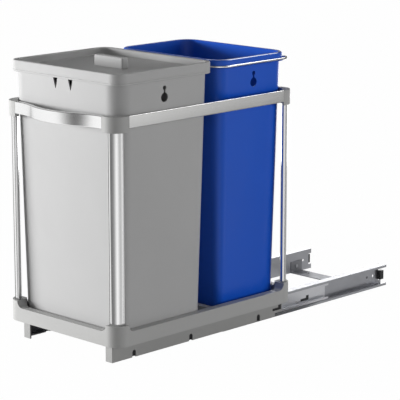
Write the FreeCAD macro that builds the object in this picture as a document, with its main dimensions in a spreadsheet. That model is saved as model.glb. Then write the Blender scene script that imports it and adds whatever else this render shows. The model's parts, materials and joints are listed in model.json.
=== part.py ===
import FreeCAD, Part
import math
import os
import re

import Sketcher

# Pull-out recycling unit for a 300 mm under-sink cabinet, drawn partly pulled out.
# Millimetres, +Z up, +X right, +Y into the cabinet. Outlines are drawn with the tray's front
# face at Y = 0, its middle plane at X = 0 and the cabinet floor under the slides at Z = 0.
# Every piece is then placed so that the origin is the middle of the four floor screws.

DIMENSIONS = [
    # moving tray: outline, base moulding and top frame
    ("tray_width", 244),
    ("tray_depth", 383),
    ("tray_corner_radius", 22),
    ("base_bottom", 31.5),
    ("base_height", 21.5),
    ("rim_width", 12.5),
    ("floor_rise", 5.5),
    ("floor_thickness", 4),
    ("pocket_corner_radius", 30),
    ("socket_rise", 10),
    ("socket_reach", 24),
    ("rib_width", 9),
    ("rib_height", 8),
    ("rib_corner", 3),
    ("frame_top", 369.5),
    ("frame_height", 18.5),
    ("frame_thickness", 4),
    ("block_leg", 28),
    ("block_front_thickness", 8),
    ("block_drop", 5),
    ("block_chamfer_reach", 26),
    ("handle_bow", 18),
    ("handle_thickness", 6),
    ("post_inset", 4),
    ("post_flat", 5),
    ("post_fit", 0.1),
    # side skirts that carry the slides
    ("skirt_inset", 24),
    ("skirt_thickness", 3.5),
    ("skirt_bottom", 3.5),
    ("skirt_front", 12.5),
    ("skirt_rear_gap", 1),
    ("skirt_clearance", 0.3),
    ("skirt_return", 14),
    ("skirt_return_thickness", 2.5),
    ("notch_width", 7),
    ("notch_height", 11),
    ("notch_first", 57),
    ("notch_second", 176),
    ("notch_third", 327),
    ("foot_cut_length", 16),
    ("foot_cut_height", 6),
    ("slot_leg", 20),
    ("slot_gap", 4),
    ("slot_stem", 6.8),
    ("slot_head", 8),
    ("skirt_slot_lift", 9.5),
    ("skirt_slot_margin", 1.8),
    # telescopic slides
    ("slide_height", 35),
    ("slide_inset", 44.5),
    ("slide_depth", 13),
    ("steel_gauge", 1.2),
    ("slide_lip", 4),
    ("rail_length", 400),
    ("rail_front", 254),
    ("middle_height", 26),
    ("middle_offset", 2.5),
    ("middle_depth", 8.8),
    ("middle_front", 134),
    ("middle_length", 372),
    ("middle_lip", 3.6),
    ("drawer_height", 17),
    ("drawer_reach", 11.2),
    ("drawer_front_gap", 3.5),
    ("drawer_rear_gap", 1),
    ("web_slot_lift", 9),
    ("web_slot_setback", 40),
    ("web_hole_radius", 1.3),
    ("web_hole_setback", 71),
    ("rail_hole_radius", 2.2),
    ("rail_hole_setback", 21),
    ("rail_hole_pitch", 16),
    ("rail_notch_depth", 7),
    ("rail_notch_height", 19),
    ("stop_length", 9),
    ("stop_height", 15),
    ("stop_depth", 7.5),
    ("stop_setback", 1),
    ("cage_gauge", 0.5),
    ("outer_cage_length", 150),
    ("inner_cage_length", 130),
    ("cage_clearance", 0.4),
    ("ball_clearance", 0.3),
    ("ball_margin", 8),
    ("ball_track_share", 0.6),
    ("ball_count", 5),
    # ties between the cabinet rails
    ("tie_width", 28),
    ("tie_gauge", 1.5),
    ("tie_tab_height", 20),
    ("tie_setback", 26),
    ("tie_screw_spacing", 100),
    ("tie_screw_radius", 2.6),
    ("rivet_radius", 3),
    ("rivet_height", 1),
    # bins
    ("bin_wall", 2.2),
    ("bin_floor", 3),
    ("bin_draft_share", 0.023),
    ("bin_front_gap", 11.5),
    ("bin_rear_gap", 13),
    ("bin_gap", 23),
    ("grey_share", 0.57377),
    ("grey_side_gap", 5.4),
    ("grey_rise", 46.5),
    ("grey_corner", 24),
    ("grey_rim_overhang", 3.4),
    ("grey_rim_height", 4),
    ("blue_side_gap", 15.6),
    ("blue_rise", 57.5),
    ("blue_corner", 22),
    ("blue_rim_overhang", 4),
    ("blue_rim_height", 13),
    ("blue_ledge", 2.8),
    ("blue_ledge_height", 4),
    ("grey_key_shift", 3.7),
    ("vent_width", 10),
    ("vent_height", 18),
    ("vent_spacing", 32.5),
    ("key_small_radius", 3.5),
    ("key_large_radius", 7),
    ("key_spacing", 13.8),
    ("key_neck", 3.5),
    ("key_drop", 15),
    # lid and bag hoop
    ("lid_corner", 20),
    ("lid_skirt", 2.6),
    ("lid_fit", 0.3),
    ("lid_height", 17),
    ("lid_inner_depth", 3.5),
    ("lid_plate", 3.5),
    ("lid_rim", 8),
    ("grip_length", 62),
    ("grip_width", 13),
    ("grip_height", 16.5),
    ("grip_corner", 3),
    ("hoop_wire", 3.2),
    ("hoop_corner", 9),
    ("hoop_clearance", 0.3),
    # rounding of moulded and drawn edges
    ("metal_edge", 1),
    ("block_edge", 0.8),
    ("lid_edge", 0.9),
    # reach of every cutting profile past the face that it opens
    ("overrun", 5),
]

# sizes that follow from the tray: places of the bins and of the slides
DERIVED = [
    ("slide_web", "tray_width / 2 - slide_inset"),
    ("grey_half_width", "tray_width / 2 - grey_side_gap"),
    ("blue_half_width", "tray_width / 2 - blue_side_gap"),
    ("bin_room", "tray_depth - bin_front_gap - bin_rear_gap - bin_gap"),
    ("grey_front", "bin_front_gap"),
    ("grey_rear", "bin_front_gap + grey_share * bin_room"),
    ("blue_front", "grey_rear + bin_gap"),
    ("blue_rear", "tray_depth - bin_rear_gap"),
    ("grey_top", "frame_top + grey_rise"),
    ("blue_top", "frame_top + blue_rise"),
]

HALF = "tray_width / 2"
RIM_TOP = "(base_bottom + base_height)"
SOCKET_TOP = "(base_bottom + base_height + socket_rise)"
FLOOR_UNDER = "(base_bottom + floor_rise)"
FLOOR_TOP = "(base_bottom + floor_rise + floor_thickness)"
FRAME_BOTTOM = "(frame_top - frame_height)"
SKIRT_FACE = "(tray_width / 2 - skirt_inset)"
SKIRT_INNER = "(tray_width / 2 - skirt_inset - skirt_thickness)"
SLIDE_MIDDLE = "slide_height / 2"
RAIL_REAR = "(rail_front + rail_length)"
ORIGIN_DEPTH = "(rail_front + rail_length / 2)"
MIDDLE_REAR = "(middle_front + middle_length)"
MIDDLE_WEB = "(slide_web + middle_offset)"
DRAWER_FRONT = "(skirt_front + drawer_front_gap)"
DRAWER_REAR = "(tray_depth - drawer_rear_gap)"
SKIRT_SLOT_END = "(tray_depth - skirt_rear_gap - skirt_slot_margin)"
SKIRT_SLOT_FOOT = "(skirt_bottom + skirt_slot_lift)"
BALL_GAP_OUTER = "((slide_height - middle_height) / 2 - steel_gauge)"
BALL_GAP_INNER = "((middle_height - drawer_height) / 2 - steel_gauge)"
BALL_TRACK = "(slide_web + middle_offset + middle_depth * ball_track_share)"
GREY_DROP = "(grey_top - (base_bottom + floor_rise + floor_thickness))"
BLUE_DROP = "(blue_top - (base_bottom + floor_rise + floor_thickness))"
LID_BOTTOM = "(grey_top - lid_inner_depth)"
LID_OUTSET = "(grey_rim_overhang + lid_fit + lid_skirt)"
LID_TOP = "(grey_top - lid_inner_depth + lid_height)"
RECESS_FLOOR = "(grey_top + lid_plate)"
HOOP_OUTSET = "(blue_rim_overhang + hoop_clearance + hoop_wire / 2)"
HOOP_LEVEL = "(blue_top - blue_rim_height + blue_ledge_height + hoop_clearance + hoop_wire / 2)"

CORNERS = {
    "front_right": (1, 1),
    "front_left": (-1, 1),
    "rear_right": (1, -1),
    "rear_left": (-1, -1),
}
FUNCTIONS = ("sqrt", "max", "min")

document = FreeCAD.newDocument("recycling_unit")
sheet = document.addObject("Spreadsheet::Sheet", "dims")
for row, (alias, size) in enumerate(DIMENSIONS + DERIVED, start=1):
    sheet.set(f"A{row}", alias)
    sheet.set(f"B{row}", f"={size}")
    sheet.setAlias(f"B{row}", alias)
document.recompute()

pieces = []


def tied(formula):
    """The formula with every size name pointing at its cell in the sheet."""
    def cell(match):
        word = match.group(0)
        return word if word in FUNCTIONS else "dims." + word
    return re.sub(r"[a-z_]+", cell, str(formula))


def value(formula):
    """The number that a formula of named sizes gives now."""
    return float(sheet.evalExpression(tied(formula)))


def bind(thing, **formulas):
    """Tie properties of a document object to formulas of named sizes."""
    for name, formula in formulas.items():
        thing.setExpression(name.replace("__", "."), tied(formula))


def keep(thing, label):
    """Register a finished sub-part under the name of its file."""
    thing.Label = label
    pieces.append(thing)
    return thing


def new_body(label):
    """An empty body for one sub-part."""
    body = keep(document.addObject("PartDesign::Body", "body_" + label), label)
    bind(body, Placement__Base__y=f"-{ORIGIN_DEPTH}")
    return body


def new_sketch(body, plane, level):
    """A sketch on one of the body's origin planes, shifted along the plane's normal."""
    sketch = body.newObject("Sketcher::SketchObject", "sketch")
    planes = {item.Role: item for item in body.Origin.OriginFeatures}
    sketch.AttachmentSupport = [(planes[plane], "")]
    sketch.MapMode = "FlatFace"
    sketch.setExpression("AttachmentOffset.Base.z", tied(level))
    return sketch


def arc_through(start, end, radius, turn, major):
    """A circular arc from start to end; turn 1 runs counter-clockwise, -1 clockwise."""
    chord = end.sub(start)
    middle = start.add(end).multiply(0.5)
    rise = math.sqrt(max(radius ** 2 - (chord.Length / 2) ** 2, 0.0))
    side = FreeCAD.Vector(-chord.y, chord.x, 0).normalize().multiply(rise * turn * (-1 if major else 1))
    centre = middle.add(side)
    first, last = (start, end) if turn > 0 else (end, start)
    angles = [math.atan2(point.y - centre.y, point.x - centre.x) for point in (first, last)]
    circle = Part.Circle(centre, FreeCAD.Vector(0, 0, 1), radius)
    return Part.ArcOfCircle(circle, angles[0], angles[1])


def pin_point(sketch, geometry, end, axis, formula):
    """Fix one coordinate of a sketch point with a driving formula."""
    if formula == 0:
        sketch.addConstraint(Sketcher.Constraint("PointOnObject", geometry, end, -2 if axis == "X" else -1))
        return
    name = "Distance" + axis
    index = sketch.addConstraint(Sketcher.Constraint(name, -1, 1, geometry, end, value(formula)))
    sketch.setExpression(f"Constraints[{index}]", tied(formula))


def add_loop(sketch, points):
    """Draw a closed outline. A point is (x, y), or (x, y, radius, turn[, major]) before an arc."""
    places = [FreeCAD.Vector(value(point[0]), value(point[1]), 0) for point in points]
    ends = []
    for number, point in enumerate(points):
        start, end = places[number], places[(number + 1) % len(points)]
        if len(point) == 2:
            ends.append((sketch.addGeometry(Part.LineSegment(start, end)), 1, 2))
            continue
        major = len(point) > 4
        geometry = sketch.addGeometry(arc_through(start, end, value(point[2]), point[3], major))
        ends.append((geometry, 1, 2) if point[3] > 0 else (geometry, 2, 1))
    for number, point in enumerate(points):
        geometry, first, last = ends[number]
        following = ends[(number + 1) % len(points)]
        sketch.addConstraint(Sketcher.Constraint("Coincident", geometry, last, following[0], following[1]))
        pin_point(sketch, geometry, first, "X", point[0])
        pin_point(sketch, geometry, first, "Y", point[1])
        if len(point) > 2:
            index = sketch.addConstraint(Sketcher.Constraint("Radius", geometry, value(point[2])))
            sketch.setExpression(f"Constraints[{index}]", tied(point[2]))


def rounded_box(left, right, front, rear, radius):
    """The outline points of a rectangle with round corners."""
    return [
        (f"{left} + {radius}", front),
        (f"{right} - {radius}", front, radius, 1),
        (right, f"{front} + {radius}"),
        (right, f"{rear} - {radius}", radius, 1),
        (f"{right} - {radius}", rear),
        (f"{left} + {radius}", rear, radius, 1),
        (left, f"{rear} - {radius}"),
        (left, f"{front} + {radius}", radius, 1),
    ]


def grown_box(half_width, front, rear, radius, growth):
    """A rounded box about X = 0, with every side moved out by the growth."""
    return rounded_box(
        f"-({half_width} + {growth})", f"({half_width} + {growth})",
        f"({front} - ({growth}))", f"({rear} + {growth})", f"({radius})",
    )


def outline(body, plane, level, *loops):
    """A sketch that holds one or more closed outlines."""
    sketch = new_sketch(body, plane, level)
    for points in loops:
        add_loop(sketch, points)
    return sketch


def circles(body, plane, level, radius, centres):
    """A sketch of equal circles."""
    sketch = new_sketch(body, plane, level)
    for across, along in centres:
        spot = FreeCAD.Vector(value(across), value(along), 0)
        geometry = sketch.addGeometry(Part.Circle(spot, FreeCAD.Vector(0, 0, 1), value(radius)))
        pin_point(sketch, geometry, 3, "X", across)
        pin_point(sketch, geometry, 3, "Y", along)
        index = sketch.addConstraint(Sketcher.Constraint("Radius", geometry, value(radius)))
        sketch.setExpression(f"Constraints[{index}]", tied(radius))
    return sketch


def extrude(body, kind, sketch, length, reverse=False):
    """Pad or pocket a sketch by a length."""
    feature = body.newObject("PartDesign::" + kind, kind.lower())
    feature.Profile = sketch
    feature.Reversed = reverse
    feature.setExpression("Length", tied(length))
    return feature


def soften(body, radius):
    """Round every edge of a body."""
    base = body.Tip
    feature = body.newObject("PartDesign::Fillet", "fillet")
    feature.Base = (base, ["Edge1"])
    feature.UseAllEdges = True
    feature.setExpression("Radius", tied(radius))


def loft(body, kind, lower, upper):
    """Add or cut a straight loft between two outlines."""
    feature = body.newObject("PartDesign::" + kind, kind.lower())
    feature.Profile = lower
    feature.Sections = [upper]
    feature.Ruled = True
    return feature


def mirrored(source, label, across_depth=False):
    """The same piece on the other side of the tray's width or depth."""
    twin = document.addObject("Part::Mirroring", "mirror_" + label)
    twin.Source = source
    twin.Normal = FreeCAD.Vector(0, 1, 0) if across_depth else FreeCAD.Vector(1, 0, 0)
    if across_depth:
        bind(twin, Base__y=f"tray_depth / 2 - {ORIGIN_DEPTH}")
    return keep(twin, label)


def corner_post_section(across, deep, fit):
    """Quarter-round post outline in one corner, grown by a fit; across and deep are 1 or -1."""
    def place(out, back):
        along = f"({back})" if deep > 0 else f"tray_depth - ({back})"
        return f"{across} * ({HALF} - ({out}))", along
    radius = f"(tray_corner_radius - post_inset + {fit})"
    near = f"(post_inset - {fit})"
    seat = f"(tray_corner_radius + {fit})"
    flat = f"(post_inset + post_flat + {fit})"
    turn = across * deep
    return [
        (*place(seat, near), radius, turn),
        place(near, seat),
        place(flat, seat),
        place(seat, flat),
    ]


def build_base_frame():
    """Moulded base: rim, recessed floor, raised corner sockets with scooped sides."""
    body = new_body("base_frame")
    plan = rounded_box(f"-{HALF}", HALF, "0 * tray_depth", "tray_depth", "tray_corner_radius")
    extrude(body, "Pad", outline(body, "XY_Plane", "base_bottom", plan), "base_height + socket_rise")
    for plane, far, centre, depth in (
        ("XZ_Plane", HALF, "0 * tray_width", "tray_depth"),
        ("YZ_Plane", "tray_depth / 2", "tray_depth / 2", "tray_width"),
    ):
        reach = f"({far} - socket_reach)"
        foot = f"({far} - socket_reach - socket_rise)"
        scoop = [
            (f"{centre} + {reach}", f"{SOCKET_TOP} + overrun"),
            (f"{centre} - {reach}", f"{SOCKET_TOP} + overrun"),
            (f"{centre} - {reach}", SOCKET_TOP, "socket_rise", 1),
            (f"{centre} - {foot}", RIM_TOP),
            (f"{centre} + {foot}", RIM_TOP, "socket_rise", 1),
            (f"{centre} + {reach}", SOCKET_TOP),
        ]
        level = "overrun" if plane == "XZ_Plane" else f"{HALF} + overrun"
        extrude(body, "Pocket", outline(body, plane, level, scoop), f"{depth} + 2 * overrun")
    well = grown_box(HALF, "0 * tray_depth", "tray_depth", "pocket_corner_radius", "-rim_width")
    extrude(body, "Pocket", outline(body, "XY_Plane", SOCKET_TOP, well),
            f"{SOCKET_TOP} - {FLOOR_TOP}")
    for across, deep in CORNERS.values():
        seat = corner_post_section(across, deep, "post_fit")
        extrude(body, "Pocket", outline(body, "XY_Plane", SOCKET_TOP, seat), "socket_rise")
    side = f"({SKIRT_FACE} + skirt_clearance)"
    under = [
        (f"-{side}", "rim_width"),
        (side, "rim_width"),
        (side, "tray_depth + overrun"),
        (f"-{side}", "tray_depth + overrun"),
    ]
    extrude(body, "Pocket", outline(body, "XY_Plane", "base_bottom", under), "floor_rise", reverse=True)
    middle = "((grey_rear + blue_front) / 2)"
    half_rib = "rib_width / 2"
    rib_end = f"({HALF} - rim_width - rib_width)"
    rib = rounded_box(f"-{rib_end}", rib_end,
                      f"({middle} - {half_rib})", f"({middle} + {half_rib})", "rib_corner")
    extrude(body, "Pad", outline(body, "XY_Plane", FLOOR_TOP, rib), "rib_height")


def build_corner_posts():
    """Quarter-round aluminium posts between the base sockets and the corner blocks."""
    body = new_body("corner_post_front_right")
    section = corner_post_section(1, 1, "0 * post_fit")
    extrude(body, "Pad", outline(body, "XY_Plane", RIM_TOP, section), f"{FRAME_BOTTOM} - {RIM_TOP}")
    return body


def build_corner_blocks():
    """Moulded blocks that join the posts, the handle and the rails at the top corners."""
    body = new_body("corner_block_front_right")
    bottom = f"({FRAME_BOTTOM} - block_drop)"
    plan = [
        (f"{HALF} - block_leg", 0),
        (f"{HALF} - tray_corner_radius", 0, "tray_corner_radius", 1),
        (HALF, "tray_corner_radius"),
        (HALF, "block_leg"),
        (f"{HALF} - frame_thickness", "block_leg"),
        (f"{HALF} - frame_thickness", "block_chamfer_reach"),
        (f"{HALF} - block_chamfer_reach", "block_front_thickness"),
        (f"{HALF} - block_leg", "block_front_thickness"),
    ]
    extrude(body, "Pad", outline(body, "XY_Plane", bottom, plan), "frame_height + block_drop")
    soften(body, "block_edge")
    seat = corner_post_section(1, 1, "post_fit")
    extrude(body, "Pocket", outline(body, "XY_Plane", bottom, seat), "block_drop", reverse=True)
    return body


def spread_to_corners(source, stem):
    """Mirror a front-right piece to the other three corners."""
    mirrored(source, stem + "_front_left")
    rear = mirrored(source, stem + "_rear_right", across_depth=True)
    mirrored(rear, stem + "_rear_left")


def build_top_frame():
    """Bowed front handle, flat side rails and the plain rear rail."""
    handle = new_body("front_handle")
    end = f"({HALF} - block_leg)"
    half = f"(({HALF} - block_leg) / 2)"
    bow = "handle_bow / 2"
    radius = f"(({half} ^ 2 + ({bow}) ^ 2) / handle_bow)"
    plan = [
        (f"-{end}", 0, radius, -1),
        (f"-{half}", f"-({bow})", radius, 1),
        (half, f"-({bow})", radius, -1),
        (end, 0),
        (end, "handle_thickness", radius, 1),
        (half, f"handle_thickness - {bow}", radius, -1),
        (f"-{half}", f"handle_thickness - {bow}", radius, 1),
        (f"-{end}", "handle_thickness"),
    ]
    extrude(handle, "Pad", outline(handle, "XY_Plane", FRAME_BOTTOM, plan), "frame_height")
    soften(handle, "metal_edge")
    rear = new_body("rear_rail")
    plan = [
        (f"-{end}", "tray_depth - frame_thickness"),
        (end, "tray_depth - frame_thickness"),
        (end, "tray_depth"),
        (f"-{end}", "tray_depth"),
    ]
    extrude(rear, "Pad", outline(rear, "XY_Plane", FRAME_BOTTOM, plan), "frame_height")
    soften(rear, "metal_edge")
    side = new_body("side_rail_right")
    plan = [
        (f"{HALF} - frame_thickness", "block_leg"),
        (HALF, "block_leg"),
        (HALF, "tray_depth - block_leg"),
        (f"{HALF} - frame_thickness", "tray_depth - block_leg"),
    ]
    extrude(side, "Pad", outline(side, "XY_Plane", FRAME_BOTTOM, plan), "frame_height")
    soften(side, "metal_edge")
    mirrored(side, "side_rail_left")


def angled_slot(rear, low):
    """An L-shaped slot outline: a thin level leg with an upright stem at its rear end."""
    front = f"{rear} - slot_leg"
    stem = f"{rear} - slot_stem"
    return [
        (front, low),
        (rear, low),
        (rear, f"{low} + slot_head"),
        (stem, f"{low} + slot_head"),
        (stem, f"{low} + slot_gap"),
        (front, f"{low} + slot_gap"),
    ]


def build_skirts():
    """Angle-shaped side skirts under the base, notched along the foot and stepped at the rear."""
    body = new_body("skirt_right")
    rear = "(tray_depth - skirt_rear_gap)"
    plan = [
        (f"{SKIRT_FACE} - skirt_return", "skirt_front"),
        (SKIRT_FACE, "skirt_front"),
        (SKIRT_FACE, rear),
        (SKIRT_INNER, rear),
        (SKIRT_INNER, "skirt_front + skirt_return_thickness"),
        (f"{SKIRT_FACE} - skirt_return", "skirt_front + skirt_return_thickness"),
    ]
    extrude(body, "Pad", outline(body, "XY_Plane", "skirt_bottom", plan), f"{FLOOR_UNDER} - skirt_bottom")
    loops = []
    crown = "skirt_bottom + notch_height - notch_width / 2"
    for place in ("notch_first", "notch_second", "notch_third"):
        loops.append([
            (f"{place} - notch_width / 2", "skirt_bottom - overrun"),
            (f"{place} + notch_width / 2", "skirt_bottom - overrun"),
            (f"{place} + notch_width / 2", crown, "notch_width / 2", 1),
            (place, "skirt_bottom + notch_height", "notch_width / 2", 1),
            (f"{place} - notch_width / 2", crown),
        ])
    foot_cut = f"({rear} - foot_cut_length)"
    loops.append([
        (foot_cut, "skirt_bottom - overrun"),
        (f"{rear} + overrun", "skirt_bottom - overrun"),
        (f"{rear} + overrun", "skirt_bottom + foot_cut_height"),
        (foot_cut, "skirt_bottom + foot_cut_height"),
    ])
    loops.append(angled_slot(SKIRT_SLOT_END, SKIRT_SLOT_FOOT))
    sketch = outline(body, "YZ_Plane", f"{SKIRT_FACE} + overrun", *loops)
    extrude(body, "Pocket", sketch, "2 * overrun + skirt_thickness - steel_gauge")
    mirrored(body, "skirt_left")


def channel(label, points, front, length):
    """A rolled steel section drawn in the X-Z plane and run along the depth."""
    body = new_body(label)
    extrude(body, "Pad", outline(body, "XZ_Plane", f"-{front}", points), length, reverse=True)
    return body


def build_cabinet_rails():
    """Outer slide members: lipped channels that open outwards, with holes and a notch at the rear."""
    inner = "(slide_web + steel_gauge)"
    tip = "(slide_web + slide_depth)"
    lip = "(slide_web + slide_depth - steel_gauge)"
    top = "slide_height"
    points = [
        ("slide_web", 0),
        (tip, 0),
        (tip, "slide_lip"),
        (lip, "slide_lip"),
        (lip, "steel_gauge"),
        (inner, "steel_gauge"),
        (inner, f"{top} - steel_gauge"),
        (lip, f"{top} - steel_gauge"),
        (lip, f"{top} - slide_lip"),
        (tip, f"{top} - slide_lip"),
        (tip, top),
        ("slide_web", top),
    ]
    body = channel("cabinet_rail_right", points, "rail_front", "rail_length")
    first = f"{RAIL_REAR} - rail_hole_setback"
    spots = [(first, SLIDE_MIDDLE), (f"{first} - rail_hole_pitch", SLIDE_MIDDLE)]
    holes = circles(body, "YZ_Plane", f"{inner} + overrun", "rail_hole_radius", spots)
    extrude(body, "Pocket", holes, "2 * overrun")
    notch = [
        (f"{RAIL_REAR} - rail_notch_depth", f"{SLIDE_MIDDLE} - rail_notch_height / 2"),
        (f"{RAIL_REAR} + overrun", f"{SLIDE_MIDDLE} - rail_notch_height / 2"),
        (f"{RAIL_REAR} + overrun", f"{SLIDE_MIDDLE} + rail_notch_height / 2"),
        (f"{RAIL_REAR} - rail_notch_depth", f"{SLIDE_MIDDLE} + rail_notch_height / 2"),
    ]
    extrude(body, "Pocket", outline(body, "YZ_Plane", f"{inner} + overrun", notch), "2 * overrun")
    mirrored(body, "cabinet_rail_left")


def build_middle_rails():
    """Middle slide members: lipped channels with an angled slot and a small hole near the rear."""
    low = f"({SLIDE_MIDDLE} - middle_height / 2)"
    high = f"({SLIDE_MIDDLE} + middle_height / 2)"
    tip = f"({MIDDLE_WEB} + middle_depth)"
    inner = f"({MIDDLE_WEB} + steel_gauge)"
    lip = f"({tip} - steel_gauge)"
    points = [
        (MIDDLE_WEB, low),
        (tip, low),
        (tip, f"{low} + middle_lip"),
        (lip, f"{low} + middle_lip"),
        (lip, f"{low} + steel_gauge"),
        (inner, f"{low} + steel_gauge"),
        (inner, f"{high} - steel_gauge"),
        (lip, f"{high} - steel_gauge"),
        (lip, f"{high} - middle_lip"),
        (tip, f"{high} - middle_lip"),
        (tip, high),
        (MIDDLE_WEB, high),
    ]
    body = channel("middle_rail_right", points, "middle_front", "middle_length")
    slot = angled_slot(f"({MIDDLE_REAR} - web_slot_setback)", "web_slot_lift")
    extrude(body, "Pocket", outline(body, "YZ_Plane", f"{inner} + overrun", slot), "2 * overrun")
    spot = [(f"{MIDDLE_REAR} - web_hole_setback", "web_slot_lift + web_hole_radius")]
    hole = circles(body, "YZ_Plane", f"{inner} + overrun", "web_hole_radius", spot)
    extrude(body, "Pocket", hole, "2 * overrun")
    mirrored(body, "middle_rail_left")


def build_drawer_rails():
    """Inner slide members, fixed to the skirts and opening towards the middle members."""
    low = f"({SLIDE_MIDDLE} - drawer_height / 2)"
    high = f"({SLIDE_MIDDLE} + drawer_height / 2)"
    tip = f"({SKIRT_INNER} - drawer_reach)"
    inner = f"({SKIRT_INNER} - steel_gauge)"
    points = [
        (tip, low),
        (SKIRT_INNER, low),
        (SKIRT_INNER, high),
        (tip, high),
        (tip, f"{high} - steel_gauge"),
        (inner, f"{high} - steel_gauge"),
        (inner, f"{low} + steel_gauge"),
        (tip, f"{low} + steel_gauge"),
    ]
    body = channel("drawer_rail_right", points, DRAWER_FRONT, f"{DRAWER_REAR} - {DRAWER_FRONT}")
    slot = angled_slot(SKIRT_SLOT_END, SKIRT_SLOT_FOOT)
    sketch = outline(body, "YZ_Plane", f"{SKIRT_INNER} + overrun", slot)
    extrude(body, "Pocket", sketch, "overrun + 2 * steel_gauge")
    mirrored(body, "drawer_rail_left")


def build_ball_cage(stem, web, tip, row, ball_gap, front, length):
    """A thin channel that holds two rows of balls, half sunk in its flanges."""
    body = new_body(stem + "_right")
    low = f"({SLIDE_MIDDLE} - {row} - cage_gauge / 2)"
    high = f"({SLIDE_MIDDLE} + {row} + cage_gauge / 2)"
    inner = f"({web} + cage_gauge)"
    points = [
        (web, low),
        (tip, low),
        (tip, f"{low} + cage_gauge"),
        (inner, f"{low} + cage_gauge"),
        (inner, f"{high} - cage_gauge"),
        (tip, f"{high} - cage_gauge"),
        (tip, high),
        (web, high),
    ]
    extrude(body, "Pad", outline(body, "XZ_Plane", f"-{front}", points), length, reverse=True)
    balls = []
    for side in (-1, 1):
        ball = body.newObject("PartDesign::AdditiveSphere", "ball")
        bind(ball, Radius=f"{ball_gap} / 2 - ball_clearance",
             AttachmentOffset__Base__x=BALL_TRACK,
             AttachmentOffset__Base__y=f"{front} + ball_margin",
             AttachmentOffset__Base__z=f"{SLIDE_MIDDLE} + {side} * {row}")
        planes = {item.Role: item for item in body.Origin.OriginFeatures}
        ball.AttachmentSupport = [(planes["XY_Plane"], "")]
        ball.MapMode = "FlatFace"
        balls.append(ball)
    document.recompute()
    axes = {item.Role: item for item in body.Origin.OriginFeatures}
    pattern = body.newObject("PartDesign::LinearPattern", "ball_row")
    pattern.Originals = balls
    pattern.Direction = (axes["Y_Axis"], [""])
    bind(pattern, Length=f"{length} - 2 * ball_margin", Occurrences="ball_count")
    body.Tip = pattern
    mirrored(body, stem + "_left")


def build_ball_cages():
    """Outer cages run between rail and middle member, inner ones between middle and drawer member."""
    web = "(slide_web + steel_gauge + cage_clearance)"
    tip = f"({MIDDLE_WEB} + middle_depth - cage_clearance)"
    row = f"(middle_height / 2 + {BALL_GAP_OUTER} / 2)"
    centre = f"((rail_front + {MIDDLE_REAR}) / 2)"
    build_ball_cage("ball_cage_outer", web, tip, row, BALL_GAP_OUTER,
                    f"({centre} - outer_cage_length / 2)", "outer_cage_length")
    web = f"({MIDDLE_WEB} + steel_gauge + cage_clearance)"
    tip = f"({MIDDLE_WEB} + middle_depth - steel_gauge - cage_clearance)"
    row = f"(drawer_height / 2 + {BALL_GAP_INNER} / 2)"
    centre = f"((middle_front + {DRAWER_REAR}) / 2)"
    build_ball_cage("ball_cage_inner", web, tip, row, BALL_GAP_INNER,
                    f"({centre} - inner_cage_length / 2)", "inner_cage_length")


def build_rail_stops():
    """Black end stops inside the rear ends of the cabinet rails."""
    body = new_body("rail_stop_right")
    inner = "(slide_web + steel_gauge)"
    tip = "(slide_web + steel_gauge + stop_depth)"
    rear = f"({RAIL_REAR} - stop_setback)"
    plan = rounded_box(inner, tip, f"({rear} - stop_length)", rear, "steel_gauge")
    sketch = outline(body, "XY_Plane", f"{SLIDE_MIDDLE} - stop_height / 2", plan)
    extrude(body, "Pad", sketch, "stop_height")
    mirrored(body, "rail_stop_left")


def build_tie(label, front):
    """A flat strip between the rails, with turned-up tabs and two floor screw holes."""
    body = new_body(label)
    tab = "(slide_web - tie_gauge)"
    section = [
        ("-slide_web", 0),
        ("slide_web", 0),
        ("slide_web", "tie_tab_height"),
        (tab, "tie_tab_height"),
        (tab, "tie_gauge"),
        (f"-{tab}", "tie_gauge"),
        (f"-{tab}", "tie_tab_height"),
        ("-slide_web", "tie_tab_height"),
    ]
    extrude(body, "Pad", outline(body, "XZ_Plane", f"-{front}", section), "tie_width", reverse=True)
    middle = f"({front} + tie_width / 2)"
    spots = [("tie_screw_spacing / 2", middle), ("-tie_screw_spacing / 2", middle)]
    holes = circles(body, "XY_Plane", "tie_gauge + overrun", "tie_screw_radius", spots)
    extrude(body, "Pocket", holes, "2 * overrun + tie_gauge")


def build_rivets():
    """Rivet heads on the inner faces of the tie tabs."""
    heads = []
    for front in ("(rail_front + tie_setback)", f"({RAIL_REAR} - tie_setback - tie_width)"):
        for across in (-1, 1):
            head = document.addObject("Part::Cylinder", "rivet_head")
            inwards = FreeCAD.Rotation(FreeCAD.Vector(0, 1, 0), -90 * across)
            head.Placement = FreeCAD.Placement(FreeCAD.Vector(), inwards)
            bind(head, Radius="rivet_radius", Height="rivet_height",
                 Placement__Base__x=f"{across} * (slide_web - tie_gauge)",
                 Placement__Base__y=f"{front} + tie_width / 2 - {ORIGIN_DEPTH}",
                 Placement__Base__z="(tie_tab_height + tie_gauge) / 2")
            heads.append(head)
    group = document.addObject("Part::Compound", "rivets")
    group.Links = heads
    keep(group, "tie_rivets")


def keyhole(middle, top):
    """A keyhole outline: a small round above a large one, joined by a neck."""
    half = "key_neck / 2"
    small = f"({top} - key_drop)"
    large = f"({top} - key_drop - key_spacing)"
    small_foot = f"{small} - sqrt(key_small_radius ^ 2 - ({half}) ^ 2)"
    large_head = f"{large} + sqrt(key_large_radius ^ 2 - ({half}) ^ 2)"
    return [
        (f"{middle} + {half}", large_head),
        (f"{middle} + {half}", small_foot, "key_small_radius", 1, True),
        (f"{middle} - {half}", small_foot),
        (f"{middle} - {half}", large_head, "key_large_radius", 1, True),
    ]


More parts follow.
